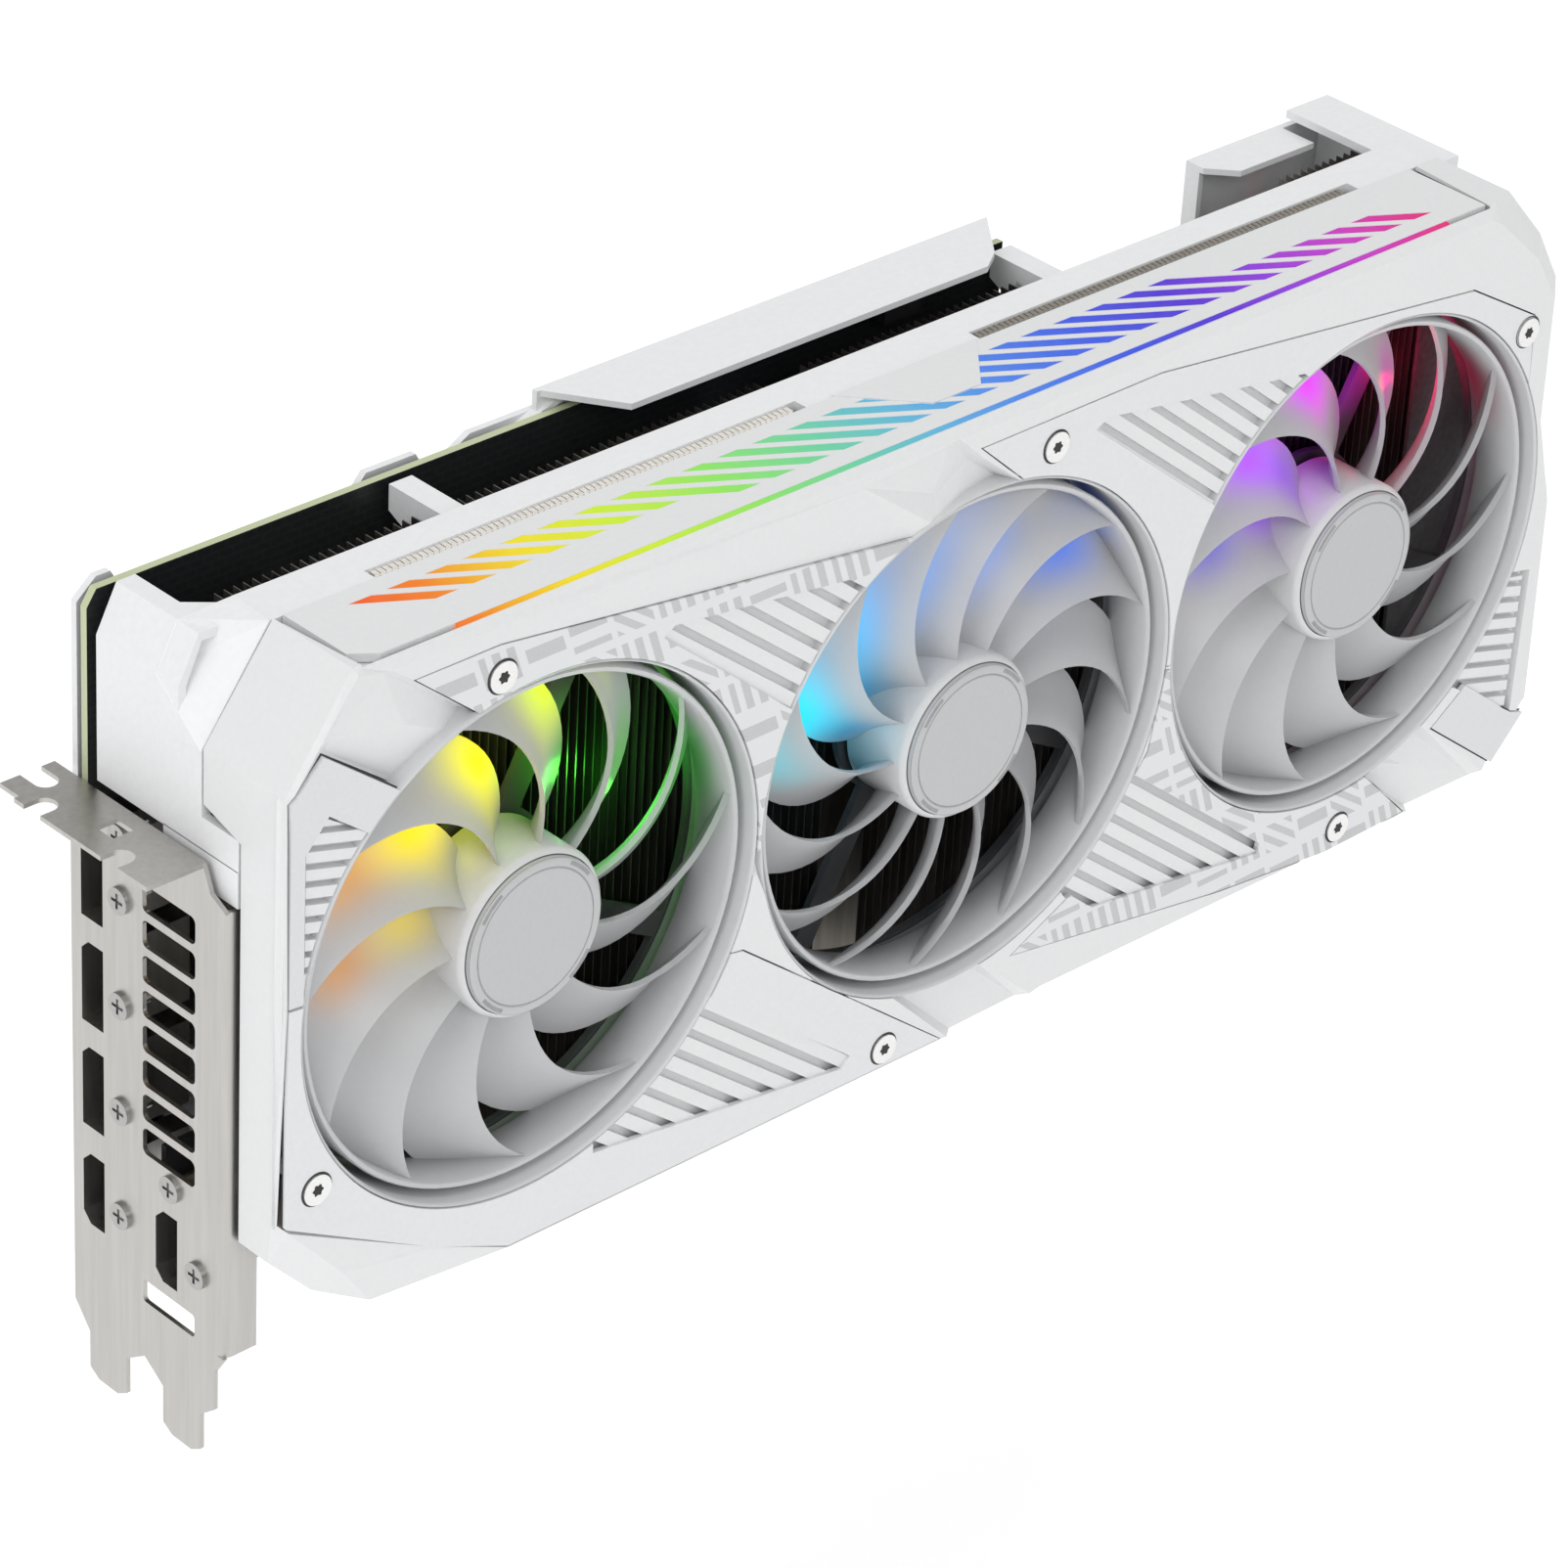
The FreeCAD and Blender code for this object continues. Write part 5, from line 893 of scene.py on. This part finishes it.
# Behind the last fan the moulding is closed to the tail by an inner wall whose dark grey is painted shade.
tail_wall = bmesh.new()
tail_shape = [(293.0, -56.0), (306.0, -56.0), (316.0, -48.0), (316.0, -8.0), (311.0, 12.0), (311.0, 42.0),
              (303.0, 54.0), (293.0, 60.0)]
block(tail_wall, *[[(x, y, z) for x, z in tail_shape] for y in (17.4, 18.2)])
inner_painted_shade = grained("inner_painted_shade", 0.6, (0.09, 0.09, 0.092), (0.08, 0.08, 0.082), (0.11, 0.11, 0.112),
                     700)
new_piece("tail_inner_wall", finish_mesh(tail_wall, "tail_inner_wall"), [inner_painted_shade])

# Painted shadow: a near-black floor lies under the thin gaps round the trim panels.
gap_painted_shadow = grained("gap_shadow", 0.8, (0.05, 0.05, 0.052), (0.045, 0.045, 0.047), (0.06, 0.06, 0.062),
                   1200)
new_piece("panel_gap_floor", plain_mesh(liner, "panel_gap_floor"), [gap_painted_shadow])

# Each fan stands in a short duct whose rolled lip frames the opening.  Its white is painted darker
# toward the rear as shade and carries painted glow from the fan's last two spots.
for number, (x, spots) in enumerate(zip(FAN_X, PAINTED_GLOW_SPOTS), 1):
    duct = bmesh.new()
    lathe(duct, x, [(APERTURE, 15.8), (APERTURE, 0.4), (APERTURE + 0.12, -0.1), (APERTURE + 0.4, -0.32),
                    (APERTURE + 0.62, -0.1), (RIM_R, 0.4), (APERTURE + 0.9, 1.0), (APERTURE + 0.9, 15.8)],
          steps=128)
    duct_painted_shade_glow = painted_glow_white(f"fan_{number}_duct_painted_shade_glow", spots[-2:], (0.63, 0.64, 0.65), (2.0, 12.0, 0.55))
    ring = new_piece(f"fan_{number}_duct", finish_mesh(duct, f"fan_{number}_duct"), [duct_painted_shade_glow], "card", 45)


# ---- Trim panels, louvres and shroud screws ------------------------------------------------------
# Thin satin panels lie flush in the moulding; two of them carry a pale grey geometric print.
# Rows of slanted ribs fill the louvre beds, and star screws hold the whole shroud to the cooler.

def printed_white():
    """Satin white with slanted grey bars, dashes and hatching printed on it."""
    finish, tree, shader = new_finish("printed_white", 0.45, (0.72, 0.73, 0.74))
    links = tree.links

    def step(op, a, b=None, c=None):
        node = tree.nodes.new("ShaderNodeMath")
        node.operation = op
        for socket, value in zip(node.inputs, (a, b, c)):
            if value is None:
                continue
            if isinstance(value, (int, float)):
                socket.default_value = value
            else:
                links.new(value, socket)
        return node.outputs["Value"]

    split = own_axes(tree)[1]
    x = step("MULTIPLY", split.outputs["X"], 1000.0)
    z = step("MULTIPLY", split.outputs["Z"], 1000.0)
    lean = step("ADD", x, step("MULTIPLY", z, 0.35))
    across, up = step("DIVIDE", lean, 9.5), step("DIVIDE", z, 8.4)
    u, v = step("FRACT", across), step("FRACT", up)
    cell = tree.nodes.new("ShaderNodeCombineXYZ")
    links.new(step("FLOOR", across), cell.inputs["X"])
    links.new(step("FLOOR", up), cell.inputs["Y"])
    pick = tree.nodes.new("ShaderNodeTexWhiteNoise")
    pick.noise_dimensions = "2D"
    links.new(cell.outputs["Vector"], pick.inputs["Vector"])
    bars = step("LESS_THAN", step("FRACT", step("MULTIPLY", u, 3.0)), 0.55)
    block = step("LESS_THAN", step("ABSOLUTE", step("SUBTRACT", v, 0.45)), 0.17)
    stroke = step("LESS_THAN", step("FRACT", step("MULTIPLY", step("ADD", u, v), 2.0)), 0.5)
    rungs = step("LESS_THAN", step("FRACT", step("MULTIPLY", v, 2.0)), 0.45)
    chance = pick.outputs["Value"]
    low = step("LESS_THAN", chance, 0.4)
    mid = step("MULTIPLY", step("GREATER_THAN", chance, 0.4), step("LESS_THAN", chance, 0.62))
    high = step("MULTIPLY", step("GREATER_THAN", chance, 0.62), step("LESS_THAN", chance, 0.8))
    top = step("GREATER_THAN", chance, 0.8)
    mark = step("ADD", step("ADD", step("MULTIPLY", low, bars), step("MULTIPLY", mid, block)),
                step("ADD", step("MULTIPLY", high, stroke), step("MULTIPLY", top, rungs)))
    clear = step("MULTIPLY", step("LESS_THAN", v, 0.84), step("GREATER_THAN", v, 0.06))
    clear = step("MULTIPLY", clear,
                 step("MULTIPLY", step("LESS_THAN", u, 0.9), step("GREATER_THAN", u, 0.04)))
    speck = grain(tree, 5200, 2)
    wear = step("ADD", step("MULTIPLY", speck.outputs["Fac"], 0.5), 0.62)
    ink = step("MULTIPLY", step("MULTIPLY", mark, clear), wear)
    blend = tree.nodes.new("ShaderNodeMix")
    blend.data_type = "RGBA"
    blend.inputs["A"].default_value = (0.72, 0.73, 0.74, 1)
    blend.inputs["B"].default_value = (0.5, 0.505, 0.51, 1)
    links.new(ink, blend.inputs["Factor"])
    links.new(blend.outputs["Result"], shader.inputs["Base Color"])
    roughen(tree, shader, speck, 0.36, 0.52)
    pit(tree, shader, speck, 0.01, 0.2)
    return finish


print_white = printed_white()
coat("printed_panel_upper", print_white, 0.12)
coat("printed_panel_lower", print_white, 0.12)
trim_white = grained("trim_white", 0.46, (0.73, 0.74, 0.75), (0.715, 0.725, 0.735), (0.745, 0.752, 0.76),
                     1100, 4, gloss=(0.4, 0.52), pits=(0.012, 0.2))
for name in ("plain_panel_lower", "plain_panel_upper"):
    coat(name, trim_white, 0.12)
inlay_white = grained("inlay_white", 0.36, (0.68, 0.69, 0.7), (0.665, 0.675, 0.685), (0.695, 0.702, 0.71),
                      1300)
for name in ("left_inlay", "corner_inlay"):
    coat(name, inlay_white, 0.1)
coat("louvre_slats", shroud_white, 0.5, 3)
bright_metal = spun_metal("bright_screw_metal", (0.82, 0.82, 0.81), 0.34, 0.5)
coat("shroud_screws", bright_metal, 0.25, 2, 40)
# Each screw stands in a ring and has a six-lobed socket in its head; both are near-black faces, painted
# shade.
socket_painted_shade = grained("socket_painted_shade", 0.6, (0.012, 0.012, 0.013), (0.01, 0.01, 0.011),
                       (0.016, 0.016, 0.017), 1500)
SCREW_PLACES = ((46.5, 54.0), (9.0, -30.5), (141.5, -58.5), (174.0, 54.0), (302.5, 36.0), (263.0, -58.5))
LOBE_R, LOBE_DEPTH, WELL_STEPS = 1.05, 0.16, 36
WELL_RINGS = ((3.45, -0.47), (3.0, -0.47), (2.95, 0.5))
head_y = card_spot(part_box("shroud_screws"), 0).y


def round_spots(bm, x, z, y, radius_at):
    """Ring of vertices round a screw's axis, its radius given for each step."""
    return [bm.verts.new(at(x + radius_at(turn) * math.cos(turn), y, z + radius_at(turn) * math.sin(turn)))
            for turn in (math.tau * k / WELL_STEPS for k in range(WELL_STEPS))]


for number, (x, z) in enumerate(SCREW_PLACES, 1):
    well = bmesh.new()
    star = round_spots(well, x, z, head_y - 0.02, lambda t: LOBE_R + LOBE_DEPTH * math.cos(6 * t))
    well.faces.new(star).material_index = 1
    rings = [round_spots(well, x, z, y, lambda t: radius) for radius, y in WELL_RINGS]
    for one, two in zip(rings, rings[1:]):
        for k in range(WELL_STEPS):
            m = (k + 1) % WELL_STEPS
            well.faces.new((one[k], one[m], two[m], two[k]))
    new_piece(f"screw_well_{number}", plain_mesh(well, f"screw_well_{number}"), [gap_painted_shadow, socket_painted_shade])


# ---- Light bar -----------------------------------------------------------------------------------
# A white cap over a strip of lamps along the top edge.  Milky windows in slanted slots and a thin
# line at the front run through the colours from orange at the bracket to red at the tail.

coat("light_bar_cover", shroud_white, 0.45, 3)
shelf = bmesh.new()
solid_along_x(shelf, [(1.2, 63.7), (20.6, 63.7), (20.6, 64.2), (1.2, 64.2)], 16.8, 289.4)
new_piece("light_bar_shelf", finish_mesh(shelf, "light_bar_shelf"), [shroud_white])
coat("badge_plate", shroud_white, 0.15)


def rainbow_glow(name, strength):
    """Milky plastic lit in a run of colours along the card."""
    finish, tree, shader = new_finish(name, 0.35, (0.9, 0.9, 0.9))
    split = own_axes(tree)[1]
    along = tree.nodes.new("ShaderNodeMapRange")
    along.inputs["From Min"].default_value = at(28, 0, 0).x
    along.inputs["From Max"].default_value = at(290, 0, 0).x
    tree.links.new(split.outputs["X"], along.inputs["Value"])
    run = tree.nodes.new("ShaderNodeValToRGB")
    stops = ((0.0, (1.0, 0.09, 0.0)), (0.055, (1.0, 0.25, 0.0)), (0.13, (1.0, 0.82, 0.0)),
             (0.2, (0.68, 0.95, 0.02)), (0.29, (0.3, 0.88, 0.12)), (0.37, (0.16, 0.72, 0.38)),
             (0.45, (0.12, 0.5, 0.8)), (0.53, (0.07, 0.25, 0.9)), (0.63, (0.04, 0.1, 0.85)),
             (0.71, (0.08, 0.02, 0.72)), (0.79, (0.3, 0.03, 0.78)), (0.87, (0.62, 0.03, 0.6)),
             (0.95, (0.85, 0.01, 0.18)), (1.0, (0.9, 0.0, 0.03)))
    while len(run.color_ramp.elements) < len(stops):
        run.color_ramp.elements.new(0.5)
    for element, (place, colour) in zip(run.color_ramp.elements, stops):
        element.position = place
        element.color = (*colour, 1)
    tree.links.new(along.outputs["Result"], run.inputs["Fac"])
    tree.links.new(run.outputs["Color"], shader.inputs["Emission Color"])
    shader.inputs["Emission Strength"].default_value = strength
    shader.inputs["Specular IOR Level"].default_value = 0.08
    film = grain(tree, 400, 2)
    mottle(tree, shader, film, (0.02, 0.02, 0.02), (0.035, 0.035, 0.035))
    return finish


lit_windows = rainbow_glow("lit_windows", 0.85)
coat("stripe_diffusers", lit_windows)
coat("line_diffuser", lit_windows)


# ---- Floor, lights and camera --------------------------------------------------------------------
# A pale floor well below the card, three soft boxes above, to the left and in front, and the small
# coloured lamps inside the fans.  The camera looks down on the fans from the bracket end.

scene = bpy.context.scene
scene.view_settings.view_transform = "Standard"
world = bpy.data.worlds.new("studio")
scene.world = world
world.use_nodes = True
world.node_tree.nodes["Background"].inputs["Color"].default_value = (1, 1, 1, 1)
world.node_tree.nodes["Background"].inputs["Strength"].default_value = 0.55

floor_mesh = bpy.data.meshes.new("studio_floor")
FLOOR_HALF, floor_z = 6, cad_low.z - 0.12
floor_corners = [(x * FLOOR_HALF, y * FLOOR_HALF, floor_z) for x, y in ((-1, -1), (1, -1), (1, 1), (-1, 1))]
floor_mesh.from_pydata(floor_corners, [], [(0, 1, 2, 3)])
floor = bpy.data.objects.new("studio_floor", floor_mesh)
scene.collection.objects.link(floor)
pale, tree, shader = new_finish("pale_floor", 0.8, (0.96, 0.96, 0.96))
mottle(tree, shader, grain(tree, 3, 2), (0.955, 0.955, 0.955), (0.965, 0.965, 0.965))
shader.inputs["Emission Color"].default_value = (1, 1, 1, 1)
shader.inputs["Emission Strength"].default_value = 0.22
floor_mesh.materials.append(pale)


def softbox(name, place, aim, size, power):
    """Rectangular studio light."""
    light = bpy.data.lights.new(name, "AREA")
    light.shape = "RECTANGLE"
    light.size, light.size_y = size
    light.energy = power
    lamp = bpy.data.objects.new(name, light)
    scene.collection.objects.link(lamp)
    lamp.location = place
    lamp.rotation_mode = "QUATERNION"
    lamp.rotation_quaternion = (Vector(aim) - Vector(place)).to_track_quat("-Z", "Y")
    return lamp


middle = (cad_low + cad_high) / 2
softbox("top_box", middle + Vector((0.3, 0.2, 4.0)), middle, (4.0, 4.0), 56.0)
softbox("left_box", middle + Vector((-3.0, -0.6, 2.0)), middle, (2.0, 2.0), 26.0)
softbox("front_box", middle + Vector((-1.5, -3.2, 2.2)), middle, (1.6, 1.6), 30.0)

# Small coloured lamps behind the blades, as on the fans' own lit rings.
LAMPS = (("lamp_yellow", (44, 14.0, 26), (0.8, 0.8, 0.0), 0.002),
         ("lamp_lime", (60, 14.5, 34), (0.45, 1.0, 0.02), 0.002),
         ("lamp_green", (84, 13.5, 12), (0.08, 1.0, 0.05), 0.006),
         ("lamp_cyan", (124, 13, 4), (0.0, 0.7, 1.0), 0.002),
         ("lamp_violet", (252, 14.5, 30), (0.6, 0.0, 1.0), 0.003),
         ("lamp_crimson", (284, 14.5, 26), (1.0, 0.0, 0.12), 0.004))
for name, spot, colour, power in LAMPS:
    glow = bpy.data.lights.new(name, "POINT")
    glow.color = colour
    glow.energy = power
    glow.shadow_soft_size = 0.002
    bulb = bpy.data.objects.new(name, glow)
    bulb.location = at(*spot)
    scene.collection.objects.link(bulb)

view = bpy.data.cameras.new("card_view")
view.sensor_width = 36.0
view.lens = 140.0
camera = bpy.data.objects.new("card_view", view)
scene.collection.objects.link(camera)
heading, drop, roll = math.radians(45.04), math.radians(31.37), math.radians(3.5)
aim = (Matrix.Rotation(-heading, 4, "Z") @ Matrix.Rotation(math.pi / 2 - drop, 4, "X")
       @ Matrix.Rotation(roll, 4, "Z"))
camera.matrix_world = Matrix.Translation(at(-520.7, -632.4, 553.9)) @ aim
view.clip_start = 0.05
view.clip_end = 20
scene.camera = camera
